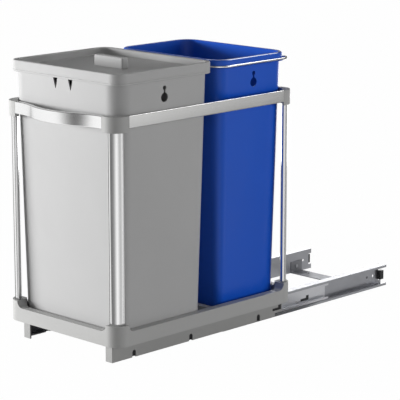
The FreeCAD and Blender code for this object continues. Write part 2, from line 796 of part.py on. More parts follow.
def build_bin_shell(body, half_width, front, rear, top, corner, drop):
    """A tapered open bin: drafted walls, rounded corners and a flat floor."""
    narrow = f"-(bin_draft_share * {drop})"
    lower = outline(body, "XY_Plane", FLOOR_TOP, grown_box(half_width, front, rear, corner, narrow))
    upper = outline(body, "XY_Plane", top, grown_box(half_width, front, rear, corner, "0 * bin_wall"))
    loft(body, "AdditiveLoft", lower, upper)
    inner_corner = f"{corner} - bin_wall"
    deep = f"-(bin_draft_share * ({drop} - bin_floor)) - bin_wall"
    lower = outline(body, "XY_Plane", f"{FLOOR_TOP} + bin_floor",
                    grown_box(half_width, front, rear, inner_corner, deep))
    upper = outline(body, "XY_Plane", top, grown_box(half_width, front, rear, inner_corner, "-bin_wall"))
    loft(body, "SubtractiveLoft", lower, upper)


def cut_keyholes(body, half_width, middle, top):
    """Keyholes through both side walls."""
    sketch = outline(body, "YZ_Plane", f"{half_width} + overrun", keyhole(middle, top))
    extrude(body, "Pocket", sketch, f"2 * ({half_width} + overrun)")


def build_grey_bin():
    """The larger bin: rolled rim under the lid, two vents in front and keyholes at the sides."""
    body = new_body("grey_bin")
    size = ("grey_half_width", "grey_front", "grey_rear")
    build_bin_shell(body, *size, "grey_top", "grey_corner", GREY_DROP)
    rim = outline(body, "XY_Plane", "grey_top - grey_rim_height",
                  grown_box(*size, "grey_corner + grey_rim_overhang", "grey_rim_overhang"),
                  grown_box(*size, "grey_corner - bin_wall / 2", "-bin_wall / 2"))
    extrude(body, "Pad", rim, "grey_rim_height")
    cut_keyholes(body, "grey_half_width", "((grey_front + grey_rear) / 2 - grey_key_shift)", "grey_top")
    head = "(grey_top - grey_rim_height)"
    loops = []
    for side in (-1, 1):
        middle = f"{side} * vent_spacing / 2"
        loops.append([
            (f"{middle} - vent_width / 2", head),
            (middle, f"{head} - vent_height"),
            (f"{middle} + vent_width / 2", head),
        ])
    vents = outline(body, "XZ_Plane", "overrun - grey_front", *loops)
    extrude(body, "Pocket", vents, "4 * overrun")


def build_blue_bin():
    """The smaller bin: deep turned rim with a ledge that carries the bag hoop."""
    body = new_body("blue_bin")
    size = ("blue_half_width", "blue_front", "blue_rear")
    build_bin_shell(body, *size, "blue_top", "blue_corner", BLUE_DROP)
    inner = grown_box(*size, "blue_corner - bin_wall / 2", "-bin_wall / 2")
    band = grown_box(*size, "blue_corner + blue_rim_overhang", "blue_rim_overhang")
    reach = "blue_rim_overhang + blue_ledge"
    ledge = grown_box(*size, f"blue_corner + {reach}", reach)
    low = "blue_top - blue_rim_height"
    crest = outline(body, "XY_Plane", "blue_top - blue_ledge_height", band, inner)
    extrude(body, "Pad", crest, "blue_ledge_height")
    skirt = grown_box(*size, "blue_corner + blue_rim_overhang - bin_wall", "blue_rim_overhang - bin_wall")
    extrude(body, "Pad", outline(body, "XY_Plane", low, band, skirt), "blue_rim_height")
    extrude(body, "Pad", outline(body, "XY_Plane", low, ledge, skirt), "blue_ledge_height")
    hook_top = "(blue_top - blue_rim_height + key_small_radius)"
    cut_keyholes(body, "blue_half_width", "((blue_front + blue_rear) / 2)", hook_top)


def build_lid():
    """Lift-off lid: raised rim, recessed plate and a bar to hold it by."""
    body = new_body("lid")
    size = ("grey_half_width", "grey_front", "grey_rear")
    plan = grown_box(*size, "lid_corner", LID_OUTSET)
    extrude(body, "Pad", outline(body, "XY_Plane", LID_BOTTOM, plan), "lid_height")
    recess = grown_box(*size, "lid_corner - lid_rim", f"{LID_OUTSET} - lid_rim")
    extrude(body, "Pocket", outline(body, "XY_Plane", LID_TOP, recess), f"{LID_TOP} - {RECESS_FLOOR}")
    middle = "((grey_front + grey_rear) / 2)"
    bar = rounded_box("-grip_length / 2", "grip_length / 2",
                      f"({middle} - grip_width / 2)", f"({middle} + grip_width / 2)", "grip_corner")
    extrude(body, "Pad", outline(body, "XY_Plane", RECESS_FLOOR, bar), "grip_height")
    soften(body, "lid_edge")
    under = grown_box(*size, "grey_corner + grey_rim_overhang + lid_fit", "grey_rim_overhang + lid_fit")
    extrude(body, "Pocket", outline(body, "XY_Plane", LID_BOTTOM, under), "lid_inner_depth", reverse=True)


def build_bag_hoop():
    """A closed wire hoop round the blue bin's rim, with tight corners."""
    body = new_body("bag_hoop")
    half = f"(blue_half_width + {HOOP_OUTSET})"
    front = f"(blue_front - {HOOP_OUTSET})"
    rear = f"(blue_rear + {HOOP_OUTSET})"
    route = rounded_box(f"-{half}", half, front, rear, "hoop_corner")
    path = outline(body, "XY_Plane", HOOP_LEVEL, [(0, front)] + route[1:] + route[:1])
    section = circles(body, "YZ_Plane", "0 * hoop_wire", "hoop_wire / 2", [(front, HOOP_LEVEL)])
    pipe = body.newObject("PartDesign::AdditivePipe", "wire")
    pipe.Profile = section
    pipe.Spine = path


def check_and_write():
    """Stop on a failed feature or a bad shape, then write one file per sub-part."""
    document.recompute()
    faults = [item.Label for item in document.Objects if {"Invalid", "Error"} & set(item.State)]
    for piece in pieces:
        shape = piece.Shape
        if shape.isNull() or not shape.isValid() or shape.Volume <= 0:
            faults.append(piece.Label)
    if faults:
        raise RuntimeError("failed: " + ", ".join(faults))
    os.makedirs("parts", exist_ok=True)
    for piece in pieces:
        piece.Shape.exportStep(os.path.join("parts", piece.Label + ".step"))
        print(f"{piece.Label}: {len(piece.Shape.Solids)} solid(s), {piece.Shape.Volume / 1000:.1f} cm3")


build_base_frame()
spread_to_corners(build_corner_posts(), "corner_post")
spread_to_corners(build_corner_blocks(), "corner_block")
build_top_frame()
build_skirts()
build_cabinet_rails()
build_middle_rails()
build_drawer_rails()
build_ball_cages()
build_rail_stops()
build_tie("front_tie", "(rail_front + tie_setback)")
build_tie("rear_tie", f"({RAIL_REAR} - tie_setback - tie_width)")
build_rivets()
build_grey_bin()
build_blue_bin()
build_lid()
build_bag_hoop()
check_and_write()
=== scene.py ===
"""Looks of a pull-out under-sink recycling unit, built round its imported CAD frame."""

import json
import logging
import math
from collections.abc import Sequence
from dataclasses import dataclass, field
from enum import Enum
from functools import reduce
from operator import add

import bmesh
import bpy
import numpy as np
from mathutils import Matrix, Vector


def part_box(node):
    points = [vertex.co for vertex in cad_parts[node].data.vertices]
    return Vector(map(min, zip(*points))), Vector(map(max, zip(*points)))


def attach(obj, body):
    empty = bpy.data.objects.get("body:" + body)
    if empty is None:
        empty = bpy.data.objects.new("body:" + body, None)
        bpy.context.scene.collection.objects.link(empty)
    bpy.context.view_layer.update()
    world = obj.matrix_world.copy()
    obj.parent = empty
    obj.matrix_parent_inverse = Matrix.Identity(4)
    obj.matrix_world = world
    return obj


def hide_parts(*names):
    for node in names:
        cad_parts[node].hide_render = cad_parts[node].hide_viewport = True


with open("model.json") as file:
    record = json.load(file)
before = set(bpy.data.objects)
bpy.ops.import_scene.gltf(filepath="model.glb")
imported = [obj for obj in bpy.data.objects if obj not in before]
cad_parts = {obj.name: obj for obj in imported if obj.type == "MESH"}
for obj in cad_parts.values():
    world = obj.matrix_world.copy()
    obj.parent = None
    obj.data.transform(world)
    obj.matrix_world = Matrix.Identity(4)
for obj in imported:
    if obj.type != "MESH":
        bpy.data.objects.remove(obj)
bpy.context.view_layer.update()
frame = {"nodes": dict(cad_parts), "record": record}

MM = 0.001
WELD = 1e-6
GRID_WELD = 5 * WELD
CAD_WELD = 2 * WELD
FLAT_TURN = 0.6  # degrees; facets of a CAD node that turn by less are one face
CREASE = 40.0  # degrees; edges that turn by more are creased
BEVEL_TURN = 32.0  # degrees; edges of a CAD node that turn by more are bevelled
LEAST_ROUND = 0.4 * MM
LEAST_SPREAD = 0.3  # keeps the points of a shrunk outline's sharp corners near it
MIX_COLOUR = 2  # place of the colour among a Mix node's outputs
FULL_TURN = 360.0
QUARTER_TURN = 90.0
SCREEN_WHITE = 255.0
SCREEN_KNEE = 0.04045
SCREEN_SLOPE = 12.92
SCREEN_LIFT = 0.055
SCREEN_POWER = 2.4
WHITE = (1.0, 1.0, 1.0, 1.0)
log = logging.getLogger("recycling_unit")

Span = tuple[float, float]
Triple = tuple[float, float, float]
Shares = tuple[float, ...]

BODY_OF: dict[str, str] = {
    node: body for body, nodes in frame["record"]["behaviour"]["bodies"].items() for node in nodes
}


class Axis(Enum):
    """A direction of the unit, along which a metal was drawn or a shape runs."""

    X = (1.0, 0.0, 0.0)
    Y = (0.0, 1.0, 0.0)
    Z = (0.0, 0.0, 1.0)


class Slot(Enum):
    """The record's material slots."""

    ZINC = "zinc_steel"
    CAGE = "cage_steel"
    BLACK = "black_plastic"
    FRAME = "frame_plastic"
    BRUSHED = "brushed_aluminium"
    BRIGHT = "bright_aluminium"
    GREY = "grey_plastic"
    BLUE = "blue_plastic"
    WIRE = "chrome_wire"


# Shader maths


class Value:
    """A shader socket whose arithmetic adds math nodes to its tree."""

    def __init__(self, tree: bpy.types.NodeTree, socket: bpy.types.NodeSocket | None) -> None:
        """Wrap an output, or nothing for a node that has none."""
        self.tree = tree
        self.socket = socket

    def _maths(self, operation: str, first: "Value | float", second: "Value | float") -> "Value":
        """Add one math node.

        Args:
            operation: Name of the math node's operation.
            first: Left operand.
            second: Right operand.

        Returns:
            The node's result.
        """
        node = self.tree.nodes.new("ShaderNodeMath")
        node.operation = operation
        for socket, given in zip(node.inputs, (first, second)):
            feed(self.tree, socket, given)
        return Value(self.tree, node.outputs[0])

    def __add__(self, other: "Value | float") -> "Value":
        """Sum."""
        return self._maths("ADD", self, other)

    __radd__ = __add__

    def __sub__(self, other: "Value | float") -> "Value":
        """Difference."""
        return self._maths("SUBTRACT", self, other)

    def __rsub__(self, other: float) -> "Value":
        """Difference from a number."""
        return self._maths("SUBTRACT", other, self)

    def __mul__(self, other: "Value | float") -> "Value":
        """Product."""
        return self._maths("MULTIPLY", self, other)

    __rmul__ = __mul__

    def at_least(self, other: "Value | float") -> "Value":
        """The larger of two values."""
        return self._maths("MAXIMUM", self, other)


def feed(tree: bpy.types.NodeTree, socket: bpy.types.NodeSocket, given: object) -> None:
    """Link a value to an input, or set the input to a number, vector or colour.

    Args:
        tree: The node tree.
        socket: The input.
        given: What goes into it.
    """
    if isinstance(given, Value):
        tree.links.new(given.socket, socket)
    else:
        socket.default_value = given


def weighed(patterns: Sequence[Value], shares: Shares) -> Value:
    """The sum of the patterns, each times its share."""
    return reduce(add, (share * pattern for pattern, share in zip(patterns, shares) if share))


@dataclass(frozen=True)
class Noise:
    """A fractal noise: its cells to the metre, its octaves, and the strength of each next one."""

    scale: float
    detail: float = 3.0
    roughness: float = 0.55


class Shader:
    """A node tree under construction, with one method that adds any node."""

    def __init__(self, owner: bpy.types.Material | bpy.types.World) -> None:
        """Start an empty tree.

        Args:
            owner: The material or world that it belongs to.
        """
        owner.use_nodes = True
        self.tree = owner.node_tree
        self.tree.nodes.clear()

    def add(self, kind: str, settings: dict[str, object] | None = None, output: int | str = 0,
            **inputs: object) -> Value:
        """Add a node, set it up and link its inputs.

        Args:
            kind: Node type without the ShaderNode prefix.
            settings: Properties, set before the inputs; a colour ramp takes its stops here.
            output: Index or name of the output that is returned.
            inputs: Values or numbers by an input's name, with underscores for spaces, or by its
                identifier.

        Returns:
            The chosen output.
        """
        node = self.tree.nodes.new("ShaderNode" + kind)
        for name, setting in (settings or {}).items():
            if name == "stops":
                self.fill(node.color_ramp.elements, setting)
            else:
                setattr(node, name, setting)
        for name, given in inputs.items():
            label = name.replace("_", " ")
            socket = next(socket for socket in node.inputs
                          if socket.enabled and (socket.name == label or socket.identifier == name))
            feed(self.tree, socket, given)
        return Value(self.tree, node.outputs[output] if node.outputs else None)

    @staticmethod
    def fill(row: bpy.types.ColorRampElements, stops: Sequence[Span]) -> None:
        """Put grey stops on a colour ramp.

        Args:
            row: The ramp's stops.
            stops: Position and brightness of each.
        """
        for number, (position, bright) in enumerate(sorted(stops)):
            stop = row[number] if number < len(row) else row.new(position)
            stop.position = position
            stop.color = (bright, bright, bright, 1.0)

    def place(self, stretch: Triple = (1.0, 1.0, 1.0)) -> Value:
        """Object coordinates, each axis times its stretch."""
        coordinates = self.add("TexCoord", output="Object")
        return self.add("Mapping", {"vector_type": "POINT"}, Vector=coordinates, Scale=stretch)

    def noise(self, kind: Noise, stretch: Triple = (1.0, 1.0, 1.0)) -> Value:
        """Fractal noise about one half, on stretched object coordinates."""
        return self.add("TexNoise", Vector=self.place(stretch), Scale=kind.scale,
                        Detail=kind.detail, Roughness=kind.roughness)

    def part(self, axis: str, where: Value) -> Value:
        """One coordinate of a place or a direction."""
        return self.add("SeparateXYZ", output=axis, Vector=where)

    def blend(self, amount: Value, low: Triple, high: Triple) -> Value:
        """A colour between two colours."""
        return self.add("Mix", {"data_type": "RGBA"}, MIX_COLOUR, Factor_Float=amount,
                        A_Color=(*low, 1.0), B_Color=(*high, 1.0))

    def mix(self, amount: Value, low: Value, high: Value) -> Value:
        """A surface between two surfaces."""
        return self.add("MixShader", Fac=amount, Shader=low, Shader_001=high)

    def ramp(self, given: Value, low: float, high: float, first: float = 0.0,
             last: float = 1.0) -> Value:
        """A value carried smoothly from one span to another."""
        return self.add("MapRange", {"interpolation_type": "SMOOTHSTEP"}, Value=given,
                        From_Min=low, From_Max=high, To_Min=first, To_Max=last)


def from_screen(red: float, green: float, blue: float) -> Triple:
    """Linear colour of an eight-bit screen colour.

    The screen's curve is straight up to its knee, and above that a power of the lifted share.

    Args:
        red: Red, 0 to 255.
        green: Green, 0 to 255.
        blue: Blue, 0 to 255.

    Returns:
        The linear colour.
    """
    share = np.array([red, green, blue]) / SCREEN_WHITE
    curved = ((share + SCREEN_LIFT) / (1.0 + SCREEN_LIFT)) ** SCREEN_POWER
    linear = np.where(share <= SCREEN_KNEE, share / SCREEN_SLOPE, curved)
    return tuple(float(channel) for channel in linear)


def shade(tone: Triple, factor: float) -> Triple:
    """A colour made darker or lighter."""
    return tuple(channel * factor for channel in tone)


# Finishes


@dataclass(frozen=True)
class Finish:
    """A surface finish that gives one procedural material.

    Its patterns are added up three times, by their shares in the colour, the gloss and the bump.
    The colour runs between two shades of the tone, and the roughness from end to end of its spread.
    """

    name: str
    slot: Slot
    tone: Triple = (0.8, 0.8, 0.8)
    roughness: float = 0.3
    shades: Span = (0.84, 1.1)
    gloss_span: Span = (0.3, 0.7)
    gloss_spread: Span = (-0.04, 0.06)
    bump_depth: float = 0.02 * MM
    colour_shares: Shares = (1.0,)
    gloss_shares: Shares = (1.0,)
    bump_shares: Shares = (1.0,)

    def patterns(self, shader: Shader) -> tuple[Value, ...]:
        """The patterns that the finish is mixed from."""
        raise NotImplementedError

    def extras(self, shader: Shader) -> dict[str, Value | float]:
        """The other inputs of the surface shader: here a metal's."""
        return {"Metallic": 1.0}

    def build(self, shader: Shader) -> Value:
        """The surface shader of the finish.

        Args:
            shader: The material's shader.

        Returns:
            The surface.
        """
        patterns = self.patterns(shader)
        dark, light = (shade(self.tone, factor) for factor in self.shades)
        smooth, rough = (self.roughness + change for change in self.gloss_spread)
        colour = shader.blend(weighed(patterns, self.colour_shares), dark, light)
        gloss = shader.ramp(weighed(patterns, self.gloss_shares), *self.gloss_span, smooth, rough)
        bump = shader.add("Bump", Strength=1.0, Distance=self.bump_depth,
                          Height=weighed(patterns, self.bump_shares))
        return shader.add("BsdfPrincipled", Base_Color=colour, Roughness=gloss, Normal=bump,
                          **self.extras(shader))

    def material(self) -> bpy.types.Material:
        """The finish's material, made once.

        Returns:
            The material.
        """
        made = bpy.data.materials.get(self.name)
        if made is None:
            made = bpy.data.materials.new(self.name)
            shader = Shader(made)
            shader.add("OutputMaterial", Surface=self.build(shader))
        return made


@dataclass(frozen=True)
class Plastic(Finish):
    """Moulded plastic: slow clouds of colour and gloss, speckles, and a fine eroded grain."""

    roughness: float = 0.42
    shades: Span = (0.94, 1.06)
    gloss_spread: Span = (-0.04, 0.05)
    bump_depth: float = 0.008 * MM
    colour_shares: Shares = (0.75, 0.25, 0.0)
    gloss_shares: Shares = (0.6, 0.4, 0.0)
    bump_shares: Shares = (0.0, 0.4, 1.0)
    cloud: Noise = Noise(9.0, 4.0)
    speckle: Noise = Noise(70.0)
    grain: Noise = Noise(1500.0, 2.0, 0.6)
    specular: float = 0.5
    highlight_coat_index: float = 1.5
    highlight_coat_roughness: float = 0.1

    def patterns(self, shader: Shader) -> tuple[Value, ...]:
        """Clouds, speckles and grain."""
        return tuple(shader.noise(kind) for kind in (self.cloud, self.speckle, self.grain))

    def polish(self, shader: Shader) -> Value | float:
        """How much highlight coat the plastic has: none."""
        return 0.0

    def extras(self, shader: Shader) -> dict[str, Value | float]:
        """The plastic's own shine and that of its highlight coat."""
        return {"Specular_IOR_Level": self.specular, "Coat_Weight": self.polish(shader),
                "Coat_IOR": self.highlight_coat_index, "Coat_Roughness": self.highlight_coat_roughness}


@dataclass(frozen=True)
class HighlightCoatPlastic(Plastic):
    """Plastic with a painted highlight: a strong clear coat on one side of its rim's crest only,
    seen as a bright line.
    """

    node: str = "blue_bin"
    crest: float = 1.6 * MM
    crest_fade: float = 0.8 * MM
    side: float = 34.0 * MM
    side_fade: float = 12.0 * MM

    def polish(self, shader: Shader) -> Value:
        """Full within the crest's height and the side's width, nothing elsewhere.

        Args:
            shader: The material's shader.

        Returns:
            The share of the highlight coat.
        """
        where, high = shader.place(), NodeBox(self.node).high
        foot, edge = high.z - self.crest, high.x - self.side
        return (shader.ramp(shader.part("Z", where), foot, foot + self.crest_fade)
                * shader.ramp(shader.part("X", where), edge, edge + self.side_fade))


@dataclass(frozen=True)
class BrushedMetal(Finish):
    """Drawn aluminium: scratches and broad bands along one axis, and faint stains.

    A stretch gives how much finer a pattern is along the axis and across it.
    """

    colour_shares: Shares = (0.55, 0.3, 0.15)
    gloss_shares: Shares = (0.6, 0.0, 0.4)
    bump_shares: Shares = (1.0, 0.5, 0.0)
    along: Axis = Axis.X
    scratch: Noise = Noise(9.0, 5.0, 0.65)
    scratch_stretch: Span = (1.0, 260.0)
    band: Noise = Noise(4.0)
    band_stretch: Span = (0.4, 34.0)
    stain: Noise = Noise(24.0, 4.0)

    def drawn(self, shader: Shader, kind: Noise, stretch: Span) -> Value:
        """Noise drawn out along the metal's axis."""
        along, across = stretch
        return shader.noise(kind, tuple(along if part else across for part in self.along.value))

    def patterns(self, shader: Shader) -> tuple[Value, ...]:
        """Scratches, bands and stains."""
        return (self.drawn(shader, self.scratch, self.scratch_stretch),
                self.drawn(shader, self.band, self.band_stretch), shader.noise(self.stain))


@dataclass(frozen=True)
class ZincSteel(Finish):
    """Zinc-plated rolled steel: faint crystals, rolling streaks and dull patches."""

    roughness: float = 0.33
    shades: Span = (0.86, 1.1)
    gloss_span: Span = (0.25, 0.75)
    gloss_spread: Span = (-0.04, 0.08)
    bump_depth: float = 0.004 * MM
    colour_shares: Shares = (0.15, 0.15, 0.7)
    gloss_shares: Shares = (0.2, 0.0, 0.8)
    bump_shares: Shares = (0.0, 1.0, 1.0)
    crystal_scale: float = 260.0
    streak: Noise = Noise(2.0, 3.0, 0.5)
    streak_stretch: Triple = (420.0, 3.0, 420.0)
    patch: Noise = Noise(30.0, 4.0)

    def patterns(self, shader: Shader) -> tuple[Value, ...]:
        """Crystals, streaks and patches."""
        crystal = shader.add("TexVoronoi", {"feature": "F1"}, "Color", Vector=shader.place(),
                             Scale=self.crystal_scale)
        return (shader.add("RGBToBW", Color=crystal),
                shader.noise(self.streak, self.streak_stretch), shader.noise(self.patch))


@dataclass(frozen=True)
class ChromeWire(Finish):
    """Bright plated wire, slightly clouded."""

    tone: Triple = (0.82, 0.83, 0.84)
    roughness: float = 0.14
    shades: Span = (0.88, 1.08)
    gloss_spread: Span = (-0.05, 0.1)
    bump_depth: float = 0.01 * MM
    cloud: Noise = Noise(120.0, 4.0)

    def patterns(self, shader: Shader) -> tuple[Value, ...]:
        """Clouds alone."""
        return (shader.noise(self.cloud),)


GREY = Plastic("grey_polypropylene", Slot.GREY, from_screen(182, 182, 182))
BASE_GREY = Plastic("frame_polypropylene", Slot.FRAME, from_screen(176, 176, 175), 0.46)
# Painted shade: the skirts take a darker copy of the base's grey, for the shade under the base's
# overhang.
SHADED_SKIRT_GREY = Plastic("skirt_polypropylene", Slot.FRAME, from_screen(164, 164, 163), 0.46)
# Painted highlight: the blue's strong clear coat on one side of the rim's crest gives the bright
# line there.
BLUE = HighlightCoatPlastic("blue_polypropylene", Slot.BLUE, from_screen(22, 88, 205), 0.34,
                     shades=(0.95, 1.05), specular=0.4, highlight_coat_index=2.4)
BLACK = Plastic("black_nylon", Slot.BLACK, from_screen(34, 34, 36), 0.5, shades=(0.85, 1.15),
                bump_depth=0.01 * MM, grain=Noise(1900.0, 2.0, 0.6))
HANDLE_METAL = BrushedMetal("handle_aluminium", Slot.BRUSHED, from_screen(236, 236, 236), 0.21)
RAIL_METAL = BrushedMetal("rail_aluminium", Slot.BRUSHED, from_screen(216, 216, 215), 0.2,
                          along=Axis.Y)
POST_METAL = BrushedMetal("post_aluminium", Slot.BRIGHT, from_screen(236, 236, 236), 0.17,
                          along=Axis.Z)
ZINC = ZincSteel("zinc_plated_steel", Slot.ZINC, from_screen(178, 179, 184))
BRIGHT_ZINC = ZincSteel("bright_zinc_steel", Slot.ZINC, from_screen(222, 223, 227))
DULL_ZINC = ZincSteel("dull_zinc_steel", Slot.ZINC, from_screen(148, 149, 153), 0.55)
CAGE = ZincSteel("cage_steel_strip", Slot.CAGE, from_screen(190, 186, 176), 0.34)
WIRE = ChromeWire("plated_wire", Slot.WIRE)


# Surfaces


@dataclass
class NodeBox:
    """The room that one CAD node takes, in metres."""

    node: str
    low: Vector = field(init=False)
    high: Vector = field(init=False)

    def __post_init__(self) -> None:
        """Read the node's corners."""
        self.low, self.high = (Vector(corner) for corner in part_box(self.node))

    @property
    def middle(self) -> Vector:
        """Middle of the room."""
        return (self.low + self.high) / 2

    @property
    def half(self) -> Vector:
        """Half of the room's size."""
        return (self.high - self.low) / 2


def nodes_named(*starts: str) -> list[str]:
    """The CAD nodes whose names start so, in order."""
    return sorted(name for name in BODY_OF if name.startswith(starts))


def rounded_profile(corners: Sequence[Triple], steps: int = 6) -> np.ndarray:
    """Round the corners of an open line.

    Every corner becomes a circular arc, written as a rational parabola between the two tangent
    points whose middle weight is the sine of half the corner's inner angle.

    Args:
        corners: Points with a radius each; the radii of the two ends are not used.
        steps: Points on each arc.

    Returns:
        The line's points, shape (n, 2).
    """
    table = np.array(corners, dtype=float)
    points, radii = table[:, :2], table[1:-1, 2:]
    middle = points[1:-1]
    back, ahead = points[:-2] - middle, points[2:] - middle
    back /= np.linalg.norm(back, axis=1, keepdims=True)
    ahead /= np.linalg.norm(ahead, axis=1, keepdims=True)
    half_angle = np.arccos(np.clip((back * ahead).sum(1, keepdims=True), -1.0, 1.0)) / 2
    reach = radii / np.maximum(np.tan(half_angle), WELD)
    weight = np.sin(half_angle)[:, None, :]
    share = np.linspace(0.0, 1.0, steps)[None, :, None]
    first, last = (middle + back * reach)[:, None, :], (middle + ahead * reach)[:, None, :]
    parts = ((1 - share) ** 2, 2 * share * (1 - share) * weight, share ** 2)
    arcs = (parts[0] * first + parts[1] * middle[:, None, :] + parts[2] * last) / sum(parts)
    return np.concatenate([points[:1], arcs.reshape(-1, 2), points[-1:]])


def rounded_ring(corners: Sequence[Triple], steps: int = 6) -> np.ndarray:
    """Round the corners of a closed outline, given like those of an open line."""
    wrapped = [corners[-1], *corners, corners[0]]
    return rounded_profile(wrapped, steps)[1:-1]


def box_ring(half_x: float, half_y: float, radius: float) -> list[Triple]:
    """Corners of a rectangle about the origin, counter-clockwise."""
    signs = ((1, -1), (1, 1), (-1, 1), (-1, -1))
    return [(half_x * side, half_y * end, radius) for side, end in signs]


def swept_round(profile: np.ndarray, centre: Vector, half_x: float, half_y: float, radius: float,
                steps: int = 14) -> np.ndarray:
    """Carry a profile round a rectangle with round corners.

    A profile point (outset, height) gives a ring: the rectangle grown by the outset, its corner
    radius grown with it, at that height.

    Args:
        profile: Points (outset, height), shape (m, 2).
        centre: Middle of the rectangle.
        half_x: Half width of the rectangle at zero outset.
        half_y: Half depth of the rectangle at zero outset.
        radius: Corner radius at zero outset.
        steps: Points on each corner.

    Returns:
        Grid of points, shape (m, 4 * steps, 3).
    """
    quarter = np.linspace(0.0, math.pi / 2, steps)
    angle = (quarter[None, :] + np.arange(4)[:, None] * math.pi / 2).ravel()
    side_x = np.repeat([1.0, -1.0, -1.0, 1.0], steps)
    side_y = np.repeat([1.0, 1.0, -1.0, -1.0], steps)
    outset, height = profile[:, :1], profile[:, 1:]
    round_by = np.maximum(radius + outset, LEAST_ROUND)
    across = centre.x + side_x * (half_x + outset - round_by) + round_by * np.cos(angle)
    deep = centre.y + side_y * (half_y + outset - round_by) + round_by * np.sin(angle)
    return np.stack([across, deep, np.broadcast_to(height, across.shape)], axis=-1)


def shrunk_ring(ring: np.ndarray, distance: np.ndarray) -> np.ndarray:
    """Copies of a closed outline moved inwards.

    Each point goes along the bisector of its two edge normals, by the distance over the cosine of
    half the turn there.

    Args:
        ring: Outline points, counter-clockwise, shape (n, 2).
        distance: Move of each copy, shape (m,).

    Returns:
        Outlines, shape (m, n, 2).
    """
    ahead = np.roll(ring, -1, axis=0) - ring
    ahead /= np.maximum(np.linalg.norm(ahead, axis=1, keepdims=True), WELD)
    normal = np.stack([ahead[:, 1], -ahead[:, 0]], axis=1)
    before = np.roll(normal, 1, axis=0)
    spread = 1.0 + (normal * before).sum(1, keepdims=True)
    bisector = (normal + before) / np.maximum(spread, LEAST_SPREAD)
    return ring[None] - bisector[None] * distance[:, None, None]


def raised(outlines: np.ndarray, height: np.ndarray) -> np.ndarray:
    """Put each outline of a stack, shape (m, n, 2), at its own height, shape (m,)."""
    tall = np.broadcast_to(height[:, None, None], (*outlines.shape[:2], 1))
    return np.concatenate([outlines, tall], axis=-1)


def prism(ring: np.ndarray, low: float, high: float, edge: float, steps: int = 5) -> np.ndarray:
    """An upright prism with round top and bottom edges.

    The edge rounds are quarter circles: the outline moves in by edge * (1 - sin t) while the height
    moves by edge * (1 - cos t).

    Args:
        ring: Outline, shape (n, 2), counter-clockwise.
        low: Height of the foot.
        high: Height of the head.
        edge: Radius of the edge rounds.
        steps: Rings on each round.

    Returns:
        Grid of points, shape (2 * steps, n, 3).
    """
    turn = np.linspace(0.0, math.pi / 2, steps)
    inward = edge * (1 - np.sin(turn))
    rise = edge * (1 - np.cos(turn))
    outlines = shrunk_ring(ring, np.concatenate([inward, inward[::-1]]))
    return raised(outlines, np.concatenate([low + rise, high - rise[::-1]]))


def tunnel(outline: np.ndarray, ends: Span, along: Axis) -> np.ndarray:
    """Run an upright outline level along one axis.

    Each end is the outline with the end's place put in as the coordinate along the axis.

    Args:
        outline: Points (level place, height), shape (n, 2).
        ends: Where it starts and stops.
        along: The axis.

    Returns:
        Grid of points, shape (2, n, 3).
    """
    column = along.value.index(1.0)
    return np.stack([np.insert(outline, column, end, axis=1) for end in ends])


def ribbon(path: np.ndarray, section: np.ndarray) -> np.ndarray:
    """Carry a section along a level path.

    A section point (side, height) sits at the path's point plus side times the path's level normal,
    at that height.

    Args:
        path: Level points, shape (m, 2).
        section: Closed section, shape (k, 2).

    Returns:
        Grid of points, shape (m, k, 3).
    """
    ahead = np.gradient(path, axis=0)
    ahead /= np.linalg.norm(ahead, axis=1, keepdims=True)
    normal = np.stack([-ahead[:, 1], ahead[:, 0]], axis=1)
    level = path[:, None, :] + normal[:, None, :] * section[None, :, :1]
    height = np.broadcast_to(section[None, :, 1:], (*level.shape[:2], 1))
    return np.concatenate([level, height], axis=-1)


def linked(name: str, data: bpy.types.ID) -> bpy.types.Object:
    """A new object in the scene.

    Args:
        name: Its name.
        data: Its mesh, lamp or camera.

    Returns:
        The object, at the origin.
    """
    made = bpy.data.objects.new(name, data)
    bpy.context.scene.collection.objects.link(made)
    return made


def mend(mesh: bpy.types.Mesh, weld: float, flat: float | None = None) -> None:
    """Weld a mesh, drop needless faces, point the rest outwards and smooth them.

    Args:
        mesh: The mesh.
        weld: Points closer than this become one.
        flat: Faces that turn by less than this many degrees become one; where it is not given, only
            faces without an area go.
    """
    work = bmesh.new()
    work.from_mesh(mesh)
    bmesh.ops.remove_doubles(work, verts=work.verts, dist=weld)
    if flat is None:
        bmesh.ops.dissolve_degenerate(work, edges=work.edges, dist=WELD)
    else:
        bmesh.ops.dissolve_limit(work, angle_limit=math.radians(flat), verts=work.verts,
                                 edges=work.edges)
    bmesh.ops.recalc_face_normals(work, faces=work.faces)
    work.to_mesh(mesh)
    work.free()
    mesh.polygons.foreach_set("use_smooth", np.ones(len(mesh.polygons), dtype=bool))


def clean(mesh: bpy.types.Mesh, sharp: float) -> None:
    """Mend a built mesh and crease its edges.

    Args:
        mesh: The mesh.
        sharp: Edges that turn by more than this many degrees are creased.
    """
    mend(mesh, GRID_WELD)
    mesh.set_sharp_from_angle(angle=math.radians(sharp))
    mesh.update()


def piece_from(name: str, grid: np.ndarray, looped: bool = False,
               sharp: float = CREASE) -> bpy.types.Object:
    """Make an object from a grid of rings.

    Args:
        name: Name of the piece.
        grid: Points of closed rings, shape (rings, points, 3).
        looped: Whether the last ring joins the first, or else both are filled.
        sharp: Edges that turn by more than this many degrees are creased.

    Returns:
        The object, at the origin.
    """
    rings, count = grid.shape[:2]
    index = np.arange(rings * count).reshape(rings, count)
    index = np.concatenate([index, index[:, :1]], axis=1)
    if looped:
        index = np.concatenate([index, index[:1]], axis=0)
    quads = [index[:-1, :-1], index[:-1, 1:], index[1:, 1:], index[1:, :-1]]
    faces = np.stack(quads, axis=-1).reshape(-1, 4).tolist()
    if not looped:
        faces += [index[0, :-1][::-1].tolist(), index[-1, :-1].tolist()]
    mesh = bpy.data.meshes.new(name)
    mesh.from_pydata(grid.reshape(-1, 3).tolist(), [], faces)
    clean(mesh, sharp)
    return linked(name, mesh)


